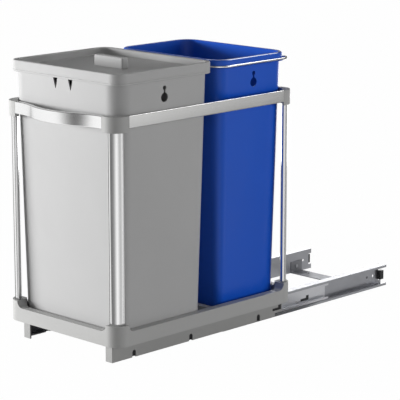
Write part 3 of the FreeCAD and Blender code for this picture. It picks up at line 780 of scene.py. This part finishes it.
def cut(piece: bpy.types.Object, cutter: bpy.types.Object) -> None:
    """Take one object's room out of another and delete the cutter.

    Args:
        piece: The object that is cut.
        cutter: The object that cuts it.
    """
    change = piece.modifiers.new("cut", "BOOLEAN")
    change.operation = "DIFFERENCE"
    change.solver = "EXACT"
    change.object = cutter
    graph = bpy.context.evaluated_depsgraph_get()
    mesh = bpy.data.meshes.new_from_object(piece.evaluated_get(graph))
    piece.modifiers.clear()
    piece.data = mesh
    mesh.name = piece.name
    bpy.data.objects.remove(cutter)
    clean(mesh, CREASE)


def softened(node: str, width: float, segments: int, corner: float) -> bpy.types.Object:
    """A copy of a CAD node with bevelled edges.

    Args:
        node: The CAD node.
        width: Width of the bevel.
        segments: Faces across the bevel.
        corner: Edges that turn by more than this many degrees are bevelled.

    Returns:
        The new piece.
    """
    mesh = frame["nodes"][node].data.copy()
    mesh.name = node + "_look"
    mesh.materials.clear()
    mend(mesh, CAD_WELD, FLAT_TURN)
    if "custom_normal" in mesh.attributes:
        mesh.attributes.remove(mesh.attributes["custom_normal"])
    piece = linked(node + "_look", mesh)
    bevel = piece.modifiers.new("edges", "BEVEL")
    bevel.width = width
    bevel.segments = segments
    bevel.limit_method = "ANGLE"
    bevel.angle_limit = math.radians(corner)
    bevel.harden_normals = True
    bevel.miter_outer = "MITER_ARC"
    return piece


def dress(piece: bpy.types.Object, finish: Finish, node: str, stands: bool = True) -> None:
    """Give a piece its finish and its body, and hide the CAD node that it stands for.

    Args:
        piece: The piece.
        finish: Its finish.
        node: The CAD node whose body carries it.
        stands: Whether it stands for that node.
    """
    body = BODY_OF[node]
    piece.data.materials.clear()
    piece.data.materials.append(finish.material())
    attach(piece, body)
    if stands:
        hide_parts(node)
    log.info("%s: %d faces on %s", piece.name, len(piece.data.polygons), body)


def dress_softened(nodes: Sequence[str], finish: Finish, width: float, segments: int = 2,
                   corner: float = BEVEL_TURN) -> None:
    """Dress softened copies of CAD nodes.

    Args:
        nodes: The CAD nodes.
        finish: Their finish.
        width: Width of the bevels.
        segments: Faces across a bevel.
        corner: Edges that turn by more than this many degrees are bevelled.
    """
    for node in nodes:
        dress(softened(node, width, segments, corner), finish, node)


# Sub-assemblies


@dataclass
class Bin:
    """A tapered bin swept round its rim outline."""

    node: str
    finish: Finish
    overhang: float
    corner: float
    wall: float = 2.2 * MM
    floor: float = 3.0 * MM
    floor_margin: float = 16.0 * MM
    draft: float = 0.023
    foot_round: float = 6.0 * MM
    key_small: float = 3.5 * MM
    key_large: float = 7.0 * MM
    key_spacing: float = 13.8 * MM
    key_neck: float = 3.5 * MM
    key_shift: float = 0.0
    key_points: int = 28
    key_reach: Span = (0.7, 1.2)
    rear_shift: float = 0.0
    rear_lean: float = 0.0

    def __post_init__(self) -> None:
        """Read the room of the bin's node."""
        self.room = NodeBox(self.node)

    def rim(self) -> list[Triple]:
        """Rim corners from the outer wall to the inner wall."""
        raise NotImplementedError

    def key_top(self) -> float:
        """Height of the keyholes' small round."""
        raise NotImplementedError

    def shell(self) -> bpy.types.Object:
        """The bin's surface: one profile carried round the outline.

        The profile goes up from the foot along the drafted outer wall, over the rim, down the inner
        wall and on to the inner floor.

        Returns:
            The bin without openings.
        """
        low, half = self.room.low.z, self.room.half
        drop = self.room.high.z - low
        foot, well = -self.draft * drop, -self.wall - self.draft * (drop - self.floor)
        corners = [
            (foot - self.floor_margin, low, 0.0),
            (foot, low, self.foot_round),
            *self.rim(),
            (well, low + self.floor, self.foot_round),
            (well - self.floor_margin, low + self.floor, 0.0),
        ]
        grid = swept_round(rounded_profile(corners), self.room.middle, half.x - self.overhang,
                           half.y - self.overhang, self.corner)
        return piece_from(self.node + "_shell", self.leaned(grid))

    def leaned(self, grid: np.ndarray) -> np.ndarray:
        """Give the rear wall its own draft.

        A point moves back by its share of the way from the middle to the rear, times the rear shift
        less the rear lean times the point's depth below the top.

        Args:
            grid: Points of the bin, shape (m, n, 3).

        Returns:
            The moved points, of the same shape.
        """
        share = np.clip((grid[..., 1] - self.room.middle.y) / self.room.half.y, 0.0, 1.0)
        back = self.rear_shift - self.rear_lean * (self.room.high.z - grid[..., 2])
        return np.stack([grid[..., 0], grid[..., 1] + share * back, grid[..., 2]], axis=-1)

    def pierce(self, piece: bpy.types.Object) -> None:
        """Cut the keyholes: two rounds, joined by a neck, run through each side wall.

        Args:
            piece: The bin.
        """
        rounds = ((self.key_top(), self.key_small, -math.pi / 2),
                  (self.key_top() - self.key_spacing, self.key_large, math.pi / 2))
        arcs = []
        for centre, radius, start in rounds:
            opening = math.asin(self.key_neck / 2 / radius)
            angle = np.linspace(start + opening, start + 2 * math.pi - opening, self.key_points)
            arcs.append(np.stack([radius * np.cos(angle), centre + radius * np.sin(angle)], axis=1))
        for outer, shift in ((self.room.low.x, 0.0), (self.room.high.x, self.key_shift)):
            outline = np.concatenate(arcs) + np.array([self.room.middle.y - shift, 0.0])
            ends = tuple(outer * share for share in self.key_reach)
            cut(piece, piece_from(self.node + "_keyhole_cutter", tunnel(outline, ends, Axis.X)))

    def build(self) -> None:
        """Make, pierce and dress the bin."""
        piece = self.shell()
        self.pierce(piece)
        dress(piece, self.finish, self.node)


@dataclass
class GreyBin(Bin):
    """The larger bin: small flanged rim, two pointed vents in front."""

    node: str = "grey_bin"
    finish: Finish = GREY
    overhang: float = 3.4 * MM
    corner: float = 28.0 * MM
    rim_height: float = 4.0 * MM
    rim_reach: float = 0.7 * MM
    rim_root: float = 0.3 * MM
    rim_edge: float = 0.6 * MM
    rear_lean: float = 0.0145
    key_shift: float = 3.7 * MM
    key_drop: float = 15.0 * MM
    vent_width: float = 10.0 * MM
    vent_height: float = 18.0 * MM
    vent_spacing: float = 32.5 * MM
    vent_corner: float = 0.8 * MM
    vent_point: float = 0.9 * MM
    vent_steps: int = 5
    vent_reach: Span = (-12.0 * MM, 25.0 * MM)

    def rim(self) -> list[Triple]:
        """Corners of a plain flange.

        Returns:
            Outset, height and radius of each.
        """
        top = self.room.high.z
        under = top - self.rim_height
        return [
            (-self.draft * self.rim_height, under, self.rim_root),
            (self.rim_reach, under, self.rim_root),
            (self.rim_reach, top, self.rim_edge),
            (-self.wall, top, self.rim_edge),
        ]

    def key_top(self) -> float:
        """Below the top by the key drop."""
        return self.room.high.z - self.key_drop

    def pierce(self, piece: bpy.types.Object) -> None:
        """Cut the keyholes and two vents: round-cornered triangles, point down, in the front wall.

        Args:
            piece: The bin.
        """
        super().pierce(piece)
        head, half = self.room.high.z - self.rim_height, self.vent_width / 2
        corners = [(-half, head, self.vent_corner), (0.0, head - self.vent_height, self.vent_point),
                   (half, head, self.vent_corner)]
        ends = tuple(self.room.low.y + reach for reach in self.vent_reach)
        for side in (-1.0, 1.0):
            outline = rounded_ring(corners, self.vent_steps)
            outline = outline + np.array([side * self.vent_spacing / 2, 0.0])
            cut(piece, piece_from("vent_cutter", tunnel(outline, ends, Axis.Y)))


@dataclass
class BlueBin(Bin):
    """The smaller bin: deep turned rim with a ledge for the bag hoop."""

    node: str = "blue_bin"
    finish: Finish = BLUE
    overhang: float = 6.8 * MM
    corner: float = 22.0 * MM
    ledge: float = 2.8 * MM
    rim_height: float = 13.0 * MM
    rim_root: float = 0.8 * MM
    rim_lip: float = 0.4 * MM
    rim_shoulder: float = 2.6 * MM
    rim_edge: float = 1.4 * MM
    ledge_height: float = 0.8 * MM
    ledge_edge: float = 0.3 * MM
    crest_height: float = 4.0 * MM
    key_drop: float = 13.9 * MM
    key_shift: float = -5.8 * MM
    rear_shift: float = 6.0 * MM
    rear_lean: float = 0.0105

    def rim(self) -> list[Triple]:
        """Corners of a turned-down rim that ends in the ledge.

        Returns:
            Outset, height and radius of each.
        """
        top, foot = self.room.high.z, self.room.high.z - self.rim_height
        under, step = top - self.crest_height, foot + self.ledge_height
        band, edge = self.overhang - self.ledge, self.overhang
        return [
            (-self.draft * self.crest_height, under, self.rim_root),
            (band - self.wall, under, self.rim_root),
            (band - self.wall, foot, self.rim_lip),
            (edge, foot, self.ledge_edge),
            (edge, step, self.ledge_edge),
            (band, step, self.ledge_edge),
            (band, top, self.rim_shoulder),
            (-self.wall, top, self.rim_edge),
        ]

    def key_top(self) -> float:
        """Below the rim's foot by the key drop."""
        return self.room.high.z - self.rim_height - self.key_drop


@dataclass
class Lid:
    """The lift-off lid: banded skirt, raised rim, sunken plate and a bar to hold it by."""

    node: str = "lid"
    corner: float = 20.0 * MM
    corner_steps: int = 18
    tuck: float = 3.4 * MM
    skirt: float = 1.9 * MM
    skirt_edge: float = 0.5 * MM
    foot_edge: float = 0.9 * MM
    inner_depth: float = 3.5 * MM
    margin: float = 24.0 * MM
    groove_foot: float = 2.6 * MM
    groove_head: float = 3.8 * MM
    groove_slope: float = 0.3 * MM
    groove_depth: float = 0.7 * MM
    groove_edge: float = 0.25 * MM
    groove_root: float = 0.15 * MM
    rim: float = 8.0 * MM
    rim_edge: float = 1.6 * MM
    rim_slope: float = 1.2 * MM
    recess: float = 10.0 * MM
    plate_round: float = 3.0 * MM
    height: float = 17.0 * MM
    grip_length: float = 62.0 * MM
    grip_width: float = 13.0 * MM
    grip_corner: float = 3.0 * MM
    grip_corner_steps: int = 8
    grip_sink: float = 1.0 * MM
    grip_edge: float = 2.2 * MM
    grip_edge_steps: int = 7

    def build(self) -> None:
        """Make and dress the lid, a profile carried round its outline, and its grip, a prism."""
        room = NodeBox(self.node)
        low, top = room.low.z, room.low.z + self.height
        shelf, plate = low + self.inner_depth, top - self.recess
        groove_low, groove_high = low + self.groove_foot, low + self.groove_head
        corners = [
            (-self.skirt - self.margin, shelf, 0.0),
            (-self.skirt, shelf, self.skirt_edge),
            (-self.skirt, low, self.skirt_edge),
            (0.0, low, self.foot_edge),
            (0.0, groove_low, self.groove_edge),
            (-self.groove_depth, groove_low + self.groove_slope, self.groove_root),
            (-self.groove_depth, groove_high - self.groove_slope, self.groove_root),
            (0.0, groove_high, self.groove_edge),
            (0.0, top, self.rim_edge),
            (-self.rim, top, self.rim_edge),
            (-self.rim - self.rim_slope, plate, self.plate_round),
            (-self.rim - self.margin, plate, 0.0),
        ]
        grid = swept_round(rounded_profile(corners), room.middle, room.half.x - self.tuck,
                           room.half.y - self.tuck, self.corner, self.corner_steps)
        dress(piece_from("lid_shell", grid), GREY, self.node)
        outline = box_ring(self.grip_length / 2, self.grip_width / 2, self.grip_corner)
        ring = rounded_ring(outline, self.grip_corner_steps) + np.array(room.middle.xy)
        grid = prism(ring, plate - self.grip_sink, room.high.z, self.grip_edge,
                     self.grip_edge_steps)
        dress(piece_from("lid_grip", grid), GREY, self.node, stands=False)


@dataclass
class BagHoop:
    """The wire hoop round the blue bin's rim: wide corners in front, tight ones behind."""

    node: str = "bag_hoop"
    wire: float = 3.2 * MM
    front_corner: float = 27.9 * MM
    rear_corner: float = 16.0 * MM
    rear_shift: float = 6.0 * MM
    drop: float = 2.9 * MM
    facets: int = 14
    corner_steps: int = 12

    def build(self) -> None:
        """Make and dress the hoop: a circle carried round a closed outline with round corners.

        A point of the wire sits at the outline's point plus the outline's level normal times
        r cos t, at the hoop's height plus r sin t.
        """
        room, radius = NodeBox(self.node), self.wire / 2
        left, right = room.low.x + radius, room.high.x - radius
        front, rear = room.low.y + radius, room.high.y - radius + self.rear_shift
        corners = [
            (right, front, self.front_corner), (right, rear, self.rear_corner),
            (left, rear, self.rear_corner), (left, front, self.front_corner),
        ]
        angle = np.linspace(0.0, 2 * math.pi, self.facets, endpoint=False)
        outlines = shrunk_ring(rounded_ring(corners, self.corner_steps), radius * np.cos(angle))
        grid = raised(outlines, room.middle.z - self.drop + radius * np.sin(angle))
        dress(piece_from("bag_hoop_wire", grid, looped=True), WIRE, self.node)


@dataclass
class TopFrame:
    """Bowed handle, flat rails and moulded corner blocks."""

    bow: float = 18.0 * MM
    handle_thickness: float = 6.0 * MM
    handle_steps: int = 97
    edge: float = 1.3 * MM
    edge_steps: int = 6
    block_edge: float = 0.4 * MM

    def section(self, half_thick: float, room: NodeBox) -> np.ndarray:
        """A flat bar's section at its node's height: a rectangle with round corners."""
        ring = rounded_ring(box_ring(half_thick, room.half.z, self.edge), self.edge_steps)
        return ring + np.array([0.0, room.middle.z])

    def handle(self) -> None:
        """The bowed handle: a flat bar along an S-curve, swung out in the middle.

        Each half is two equal arcs that meet at half its length. Their radius is the sum of the
        squares of that length and of half the bow, over the bow.
        """
        room = NodeBox("front_handle")
        end, half = room.half.x, room.half.x / 2
        radius = (half ** 2 + (self.bow / 2) ** 2) / self.bow
        across = np.linspace(-end, end, self.handle_steps)
        near, far = np.minimum(np.abs(across), half), np.minimum(end - np.abs(across), half)
        middle = -self.bow + radius - np.sqrt(radius ** 2 - near ** 2)
        outer = -radius + np.sqrt(radius ** 2 - far ** 2)
        seat = room.low.y + self.bow + self.handle_thickness / 2
        deep = np.where(np.abs(across) <= half, middle, outer) + seat
        path = np.stack([across, deep], axis=1)
        grid = ribbon(path, self.section(self.handle_thickness / 2, room))
        dress(piece_from("front_handle_bar", grid), HANDLE_METAL, room.node)

    def rails(self) -> None:
        """Flat side rails and rear rail: a section with round corners along a straight line."""
        for node in (*nodes_named("side_rail"), "rear_rail"):
            room = NodeBox(node)
            low, high, middle = (np.array(place.xy) for place in (room.low, room.high, room.middle))
            if node == "rear_rail":
                column, thick, finish = 1, room.half.y, HANDLE_METAL
            else:
                column, thick, finish = 0, room.half.x, RAIL_METAL
            path = np.stack([low, high])
            path[:, column] = middle[column]
            grid = ribbon(path, self.section(thick, room))
            dress(piece_from(node + "_bar", grid), finish, node)

    def build(self) -> None:
        """Make and dress the whole top frame, with the blocks as the CAD drew them but softer."""
        self.handle()
        self.rails()
        dress_softened(nodes_named("corner_block"), BASE_GREY, self.block_edge)


@dataclass
class Posts:
    """Drawn aluminium corner posts: a quarter round with a fine groove near each edge."""

    flat: float = 5.0 * MM
    bead: float = 2.45 * MM
    bead_steps: int = 7
    fullness: float = 2.15
    groove: float = 0.3 * MM
    groove_turn: float = 34.0
    groove_width: float = 2.2
    turn_steps: int = 61
    end_edge: float = 0.2 * MM
    end_steps: int = 3
    crease: float = 30.0

    def section(self, radius: float) -> np.ndarray:
        """The post's outline, with its square corner at the origin.

        The arc's point at turn t is the radius times cos t and sin t, each to the power of
        2 / fullness. The radius is less by the groove times a bell curve of t at two turns. Beads
        join the arc to the two flats, and a slant joins the flats.

        Args:
            radius: Width of the post.

        Returns:
            Points, counter-clockwise, shape (n, 2).
        """
        bead, inner = self.bead, radius - self.flat
        turn = np.linspace(0.0, math.pi / 2, self.turn_steps)
        away = np.abs(turn - math.pi / 4) - math.radians(self.groove_turn)
        reach = radius - self.groove * np.exp(-(away / math.radians(self.groove_width)) ** 2)
        circle = np.stack([np.cos(turn), np.sin(turn)], axis=1).clip(0.0)
        arc = reach[:, None] * circle ** (2 / self.fullness)
        corners = [(*arc[-2], 0.0), (0.0, radius, bead), (0.0, inner, bead), (inner, 0.0, bead),
                   (radius, 0.0, bead), (*arc[1], 0.0)]
        nose = rounded_profile(corners, self.bead_steps)
        kept = (arc > bead).all(axis=1)
        return np.concatenate([arc[kept], nose[1:-1]])

    def build(self) -> None:
        """Make and dress the four posts: the section, turned to each corner, as a prism."""
        for node in nodes_named("corner_post"):
            room = NodeBox(node)
            side = 1.0 if room.middle.x > 0 else -1.0
            deep = 1.0 if room.middle.y > NodeBox("base_frame").middle.y else -1.0
            radius = 2 * room.half.x
            ring = self.section(radius) - np.array([radius, radius]) / 2
            ring = ring * np.array([side, deep]) + np.array(room.middle.xy)
            if side * deep < 0:
                ring = ring[::-1]
            grid = prism(ring, room.low.z, room.high.z, self.end_edge, self.end_steps)
            dress(piece_from(node + "_bar", grid, sharp=self.crease), POST_METAL, node)


@dataclass
class BaseFrame:
    """The moulded base and the skirts under it."""

    edge: float = 1.4 * MM
    edge_segments: int = 4
    skirt_edge: float = 0.35 * MM

    def build(self) -> None:
        """Make and dress the base and the skirts."""
        dress_softened(["base_frame"], BASE_GREY, self.edge, self.edge_segments)
        # Painted shade: the skirts' darker grey stands in for the shade under the base.
        dress_softened(nodes_named("skirt"), SHADED_SKIRT_GREY, self.skirt_edge)


@dataclass
class Slides:
    """Telescopic slides: rolled members, ball cages, end stops, ties and rivets."""

    edge: float = 0.4 * MM
    cage_edge: float = 0.1 * MM
    cage_corner: float = 60.0
    slot_leg: float = 20.0 * MM
    slot_gap: float = 4.0 * MM
    slot_stem: float = 6.8 * MM
    slot_head: float = 8.0 * MM
    web_offset: float = 40.0 * MM
    web_lift: float = 9.0 * MM
    web_gauge: float = 1.2 * MM
    skirt_offset: float = 1.8 * MM
    skirt_lift: float = 9.5 * MM
    skirt_gauge: float = 3.5 * MM
    notch_places: tuple[float, ...] = (44.5 * MM, 163.5 * MM, 314.5 * MM)
    notch_width: float = 7.0 * MM
    notch_height: float = 11.0 * MM
    # Painted shade: the notch fills are black for the shade seen through the notches.
    notch_fill_drop: float = 1.4 * MM
    notch_fill_inset: float = 1.0 * MM
    notch_fill_foot: float = 0.3 * MM
    notch_fill_arch: float = 0.98
    notch_fill_steps: int = 8
    # Painted shade: the fills in the slots and notches are black for the shade seen through them.
    shade_fill_inset: float = 0.25 * MM
    shade_fill_edge: float = 0.3 * MM
    shade_fill_steps: int = 4

    def across(self, name: str, node: str, outline: np.ndarray, sheet: Span, inset: float) -> None:
        """A black piece that fills an opening in a sheet, as painted shade for the dark seen
        through it: an outline run across as a prism.

        Args:
            name: Name of the piece.
            node: The CAD node that carries it.
            outline: Points (depth, height), counter-clockwise.
            sheet: Across-places of the sheet's inner and outer face.
            inset: Distance that the piece stays inside both.
        """
        inner, outer = sheet
        side = math.copysign(1.0, outer)
        grid = prism(outline, abs(inner) + inset, abs(outer) - inset, self.shade_fill_edge,
                     self.shade_fill_steps)
        grid = np.stack([grid[..., 2] * side, grid[..., 0], grid[..., 1]], axis=-1)
        dress(piece_from(name, grid), BLACK, node, stands=False)

    def slot_shade_fill(self, name: str, node: str, rear: float, low: float, sheet: Span) -> None:
        """Painted shade: a black fill in an L-shaped slot, a level leg with an upright stem at its
        rear, for the shade seen through the slot.

        Args:
            name: Name of the piece.
            node: The CAD node that carries it.
            rear: Depth of the slot's rear end.
            low: Height of the slot's foot.
            sheet: Across-places of the sheet's inner and outer face.
        """
        front, stem = rear - self.slot_leg, rear - self.slot_stem
        head, step = low + self.slot_head, low + self.slot_gap
        outline = np.array([(front, low), (rear, low), (rear, head), (stem, head), (stem, step),
                            (front, step)])
        self.across(name, node, outline, sheet, self.shade_fill_inset)

    def notch_shade_fills(self, skirt: NodeBox, sheet: Span) -> None:
        """Painted shade: black fills in a skirt's notches, arched like them and a little short of
        the foot, for the shade seen through them.

        Args:
            skirt: The skirt.
            sheet: Across-places of its inner and outer face.
        """
        half = self.notch_width / 2 - self.shade_fill_inset
        foot = skirt.low.z + self.notch_fill_drop
        top = skirt.low.z + self.notch_height - self.shade_fill_inset
        bend = half * self.notch_fill_arch
        corners = [(-half, foot, self.notch_fill_foot), (half, foot, self.notch_fill_foot),
                   (half, top, bend), (-half, top, bend)]
        arch = rounded_ring(corners, self.notch_fill_steps)
        for number, place in enumerate(self.notch_places, 1):
            name = skirt.node.replace("skirt", "notch_insert") + f"_{number}"
            outline = arch + np.array([skirt.low.y + place, 0.0])
            self.across(name, skirt.node, outline, sheet, self.notch_fill_inset)

    def slot_shade_fills(self) -> None:
        """Painted shade: black fills in the slots of the middle members' webs and in the slots and
        notches of the skirts.
        """
        for side in ("left", "right"):
            web, skirt = NodeBox("middle_rail_" + side), NodeBox("skirt_" + side)
            inner, face = web.low.x, skirt.high.x
            if side == "left":
                inner, face = web.high.x, skirt.low.x
            web_sheet = (inner, inner + math.copysign(self.web_gauge, face))
            skirt_sheet = (face - math.copysign(self.skirt_gauge, face), face)
            self.slot_shade_fill("middle_latch_" + side, web.node, web.high.y - self.web_offset,
                       self.web_lift, web_sheet)
            self.slot_shade_fill("skirt_latch_" + side, skirt.node, skirt.high.y - self.skirt_offset,
                       skirt.low.z + self.skirt_lift, skirt_sheet)
            self.notch_shade_fills(skirt, skirt_sheet)

    def build(self) -> None:
        """Make and dress every member of the slides."""
        rolled = nodes_named("cabinet_rail", "drawer_rail", "tie_rivets")
        dress_softened(rolled, ZINC, self.edge)
        dress_softened(nodes_named("middle_rail"), BRIGHT_ZINC, self.edge)
        dress_softened(["front_tie", "rear_tie"], DULL_ZINC, self.edge)
        # Painted shade: black fills in the slots and notches, for the shade seen through them.
        self.slot_shade_fills()
        dress_softened(nodes_named("ball_cage"), CAGE, self.cage_edge, 1, self.cage_corner)
        dress_softened(nodes_named("rail_stop"), BLACK, self.edge)


@dataclass
class Studio:
    """Camera, plain floor, soft light and what the object reflects.

    The panels are bearings, in degrees from the front towards the left, with a brightness each.
    """

    eye: Triple = (2.0675, -2.2765, 0.8274)
    yaw: float = 44.301
    pitch: float = 12.18
    lens: float = 173.13
    sensor: float = 36.0
    floor_size: float = 60.0
    floor_seen: float = 0.99
    floor_tone: float = 0.45
    shade_across: Span = (0.13, 0.17)
    shade_deep: Span = (0.21, 0.27)
    shade_middle: float = -0.23
    horizon: float = 0.48
    zenith: float = 0.11
    zenith_height: float = 0.75
    panel_peak: float = 1.3
    panel_top: Span = (0.24, 0.36)
    upper_share: float = 0.2
    strip_heights: Span = (0.6, 0.72)
    strip_fade: float = 0.05
    strip_behind: Span = (0.1, 0.35)
    strip_light: float = 5.0
    panels: tuple[Span, ...] = (
        (-180, 0.5), (-160, 0.3), (-150, 0.15), (-143, 0.15), (-139, 0.32), (-134, 0.88),
        (-126, 1.2), (-116, 0.95), (-106, 0.8), (-96, 0.66), (-88, 0.55), (-80, 0.6), (-72, 0.78),
        (-62, 1.05), (-52, 1.14), (-43, 1.0), (-33, 0.66), (-22, 0.38), (-11, 0.28), (2, 0.18),
        (9, 0.18), (13, 0.27), (18, 0.48), (24, 0.8), (30, 1.14), (44, 1.14), (84, 1.06), (91, 0.6),
        (97, 0.3), (106, 0.2), (136, 0.26), (150, 0.36),
    )
    card_low: Triple = (-1.2, 0.6, 0.0)
    card_high: Triple = (-0.35, 1.3, 0.42)
    card_light: float = 4.2
    key_power: float = 158.0
    key_place: Triple = (-2.3, -2.2, 0.55)
    key_size: Span = (1.8, 0.7)
    fill_power: float = 27.0
    fill_place: Triple = (2.4, 1.0, 0.55)
    fill_size: Span = (1.6, 0.7)
    target: Triple = (0.0, -0.2, 0.22)

    def camera(self) -> None:
        """Place the camera at the photograph's viewing angle."""
        yaw, pitch = math.radians(self.yaw), math.radians(self.pitch)
        level = math.cos(pitch)
        ahead = Vector((-math.sin(yaw) * level, math.cos(yaw) * level, -math.sin(pitch)))
        data = bpy.data.cameras.new("camera")
        data.lens = self.lens
        data.sensor_width = self.sensor
        camera = linked("camera", data)
        camera.location = self.eye
        camera.rotation_euler = ahead.to_track_quat("-Z", "Y").to_euler()
        bpy.context.scene.camera = camera

    def sheet(self, name: str, finish: str,
              corners: Sequence[Triple]) -> tuple[bpy.types.Object, Shader]:
        """A flat sheet that is no part of the object.

        Args:
            name: Name of the sheet.
            finish: Name of its material.
            corners: Its four corners in turn.

        Returns:
            The sheet, and the empty shader of its material.
        """
        mesh = bpy.data.meshes.new(name)
        mesh.from_pydata(corners, [], [tuple(range(len(corners)))])
        paper = bpy.data.materials.new(finish)
        paper.cycles.emission_sampling = "NONE"
        mesh.materials.append(paper)
        sheet = linked(name, mesh)
        return sheet, Shader(paper)

    def rays(self, shader: Shader) -> tuple[Value, Value]:
        """Tell rays apart.

        Args:
            shader: The shader that asks.

        Returns:
            One for rays from the eye or through the object, and one for reflected rays.
        """
        names = ("Is Camera Ray", "Is Glossy Ray", "Is Transmission Ray")
        eye, gloss, through = (shader.add("LightPath", output=name) for name in names)
        return eye.at_least(through), gloss

    def reflected(self, shader: Shader, towards: Value, height: Value) -> Value:
        """Brightness of the surroundings in reflections.

        Upright panels, bright and dark in turn by their bearing, stand round the object up to a low
        height. Above them it is dim but for one bright strip behind.

        Args:
            shader: The world's shader.
            towards: Direction of the reflected ray.
            height: Upward part of that direction.

        Returns:
            The brightness.
        """
        bearing = shader.add("TexGradient", {"gradient_type": "RADIAL"}, Vector=towards)
        stops = [((QUARTER_TURN - degrees) % FULL_TURN / FULL_TURN, bright / self.panel_peak)
                 for degrees, bright in self.panels]
        panels = shader.add("ValToRGB", {"stops": stops}, Fac=bearing) * self.panel_peak
        dimming = shader.ramp(height, *self.panel_top, 1.0, self.upper_share)
        lower, upper = (shader.ramp(height, edge, edge + self.strip_fade)
                        for edge in self.strip_heights)
        behind = shader.ramp(shader.part("Y", towards), *self.strip_behind)
        return panels * dimming + (lower - upper) * behind * self.strip_light

    def card(self) -> None:
        """A low bright card behind the slides, shown only by reflections."""
        (left, front, foot), (right, rear, head) = self.card_low, self.card_high
        corners = [(left, front, foot), (right, rear, foot), (right, rear, head),
                   (left, front, head)]
        card, shader = self.sheet("card", "card_light", corners)
        glow = shader.add("Emission", Color=WHITE, Strength=self.card_light)
        shader.add("OutputMaterial", Surface=glow)
        for seen in ("camera", "diffuse", "transmission", "shadow"):
            setattr(card, "visible_" + seen, False)

    def floor(self) -> None:
        """A plain white floor that keeps a faint shadow.

        Reflections look through it, except under and close round the tray.
        """
        reach = self.floor_size / 2
        corners = [(*corner, 0.0) for corner in ((-reach, -reach), (reach, -reach), (reach, reach),
                                                 (-reach, reach))]
        _, shader = self.sheet("floor", "floor_paper", corners)
        tone = self.floor_tone
        lit = shader.add("BsdfDiffuse", Color=(tone, tone, tone, 1.0))
        eye, gloss = self.rays(shader)
        glow = shader.add("Emission", Color=WHITE, Strength=1.0)
        plain = shader.mix(eye * self.floor_seen, lit, glow)
        clear = shader.add("BsdfTransparent")
        where = shader.add("TexCoord", output="Object")
        across, deep = shader.part("X", where), shader.part("Y", where) - self.shade_middle
        sides, ends = (shader.ramp(away * away, *(edge ** 2 for edge in edges))
                       for away, edges in ((across, self.shade_across), (deep, self.shade_deep)))
        surface = shader.mix(gloss * sides.at_least(ends), plain, clear)
        shader.add("OutputMaterial", Surface=surface)

    def world(self) -> None:
        """White to the eye, panels to reflections, and a light that is dim overhead."""
        world = bpy.data.worlds.new("studio")
        world.cycles.sampling_method = "NONE"
        bpy.context.scene.world = world
        shader = Shader(world)
        towards = shader.add("TexCoord", output="Generated")
        height = shader.part("Z", towards)
        light = shader.ramp(height, 0.0, self.zenith_height, self.horizon, self.zenith)
        eye, gloss = self.rays(shader)
        shown = self.reflected(shader, towards, height)
        strength = eye + (1.0 - eye) * (gloss * shown + (1.0 - gloss) * light)
        glow = shader.add("Background", Color=WHITE, Strength=strength)
        shader.add("OutputWorld", Surface=glow)

    def lamp(self, name: str, place: Triple, size: Span, power: float) -> None:
        """A soft rectangular lamp aimed at the object, not seen in reflections.

        Args:
            name: Name of the lamp.
            place: Where it hangs.
            size: Its width and height.
            power: Its power in watts.
        """
        data = bpy.data.lights.new(name, "AREA")
        data.shape = "RECTANGLE"
        data.size, data.size_y = size
        data.energy = power
        lamp = linked(name, data)
        lamp.location = place
        lamp.visible_glossy = False
        aim = Vector(self.target) - Vector(place)
        lamp.rotation_euler = aim.to_track_quat("-Z", "Y").to_euler()

    def build(self) -> None:
        """Set up the picture."""
        bpy.context.scene.view_settings.view_transform = "Standard"
        self.camera()
        self.floor()
        self.card()
        self.world()
        self.lamp("key", self.key_place, self.key_size, self.key_power)
        self.lamp("fill", self.fill_place, self.fill_size, self.fill_power)


def main() -> None:
    """Build every sub-assembly and the studio."""
    logging.basicConfig(level=logging.INFO, format="%(message)s")
    for part in (GreyBin(), BlueBin(), Lid(), BagHoop(), TopFrame(), Posts(), BaseFrame(), Slides(),
                 Studio()):
        part.build()


if __name__ == "__main__":
    main()
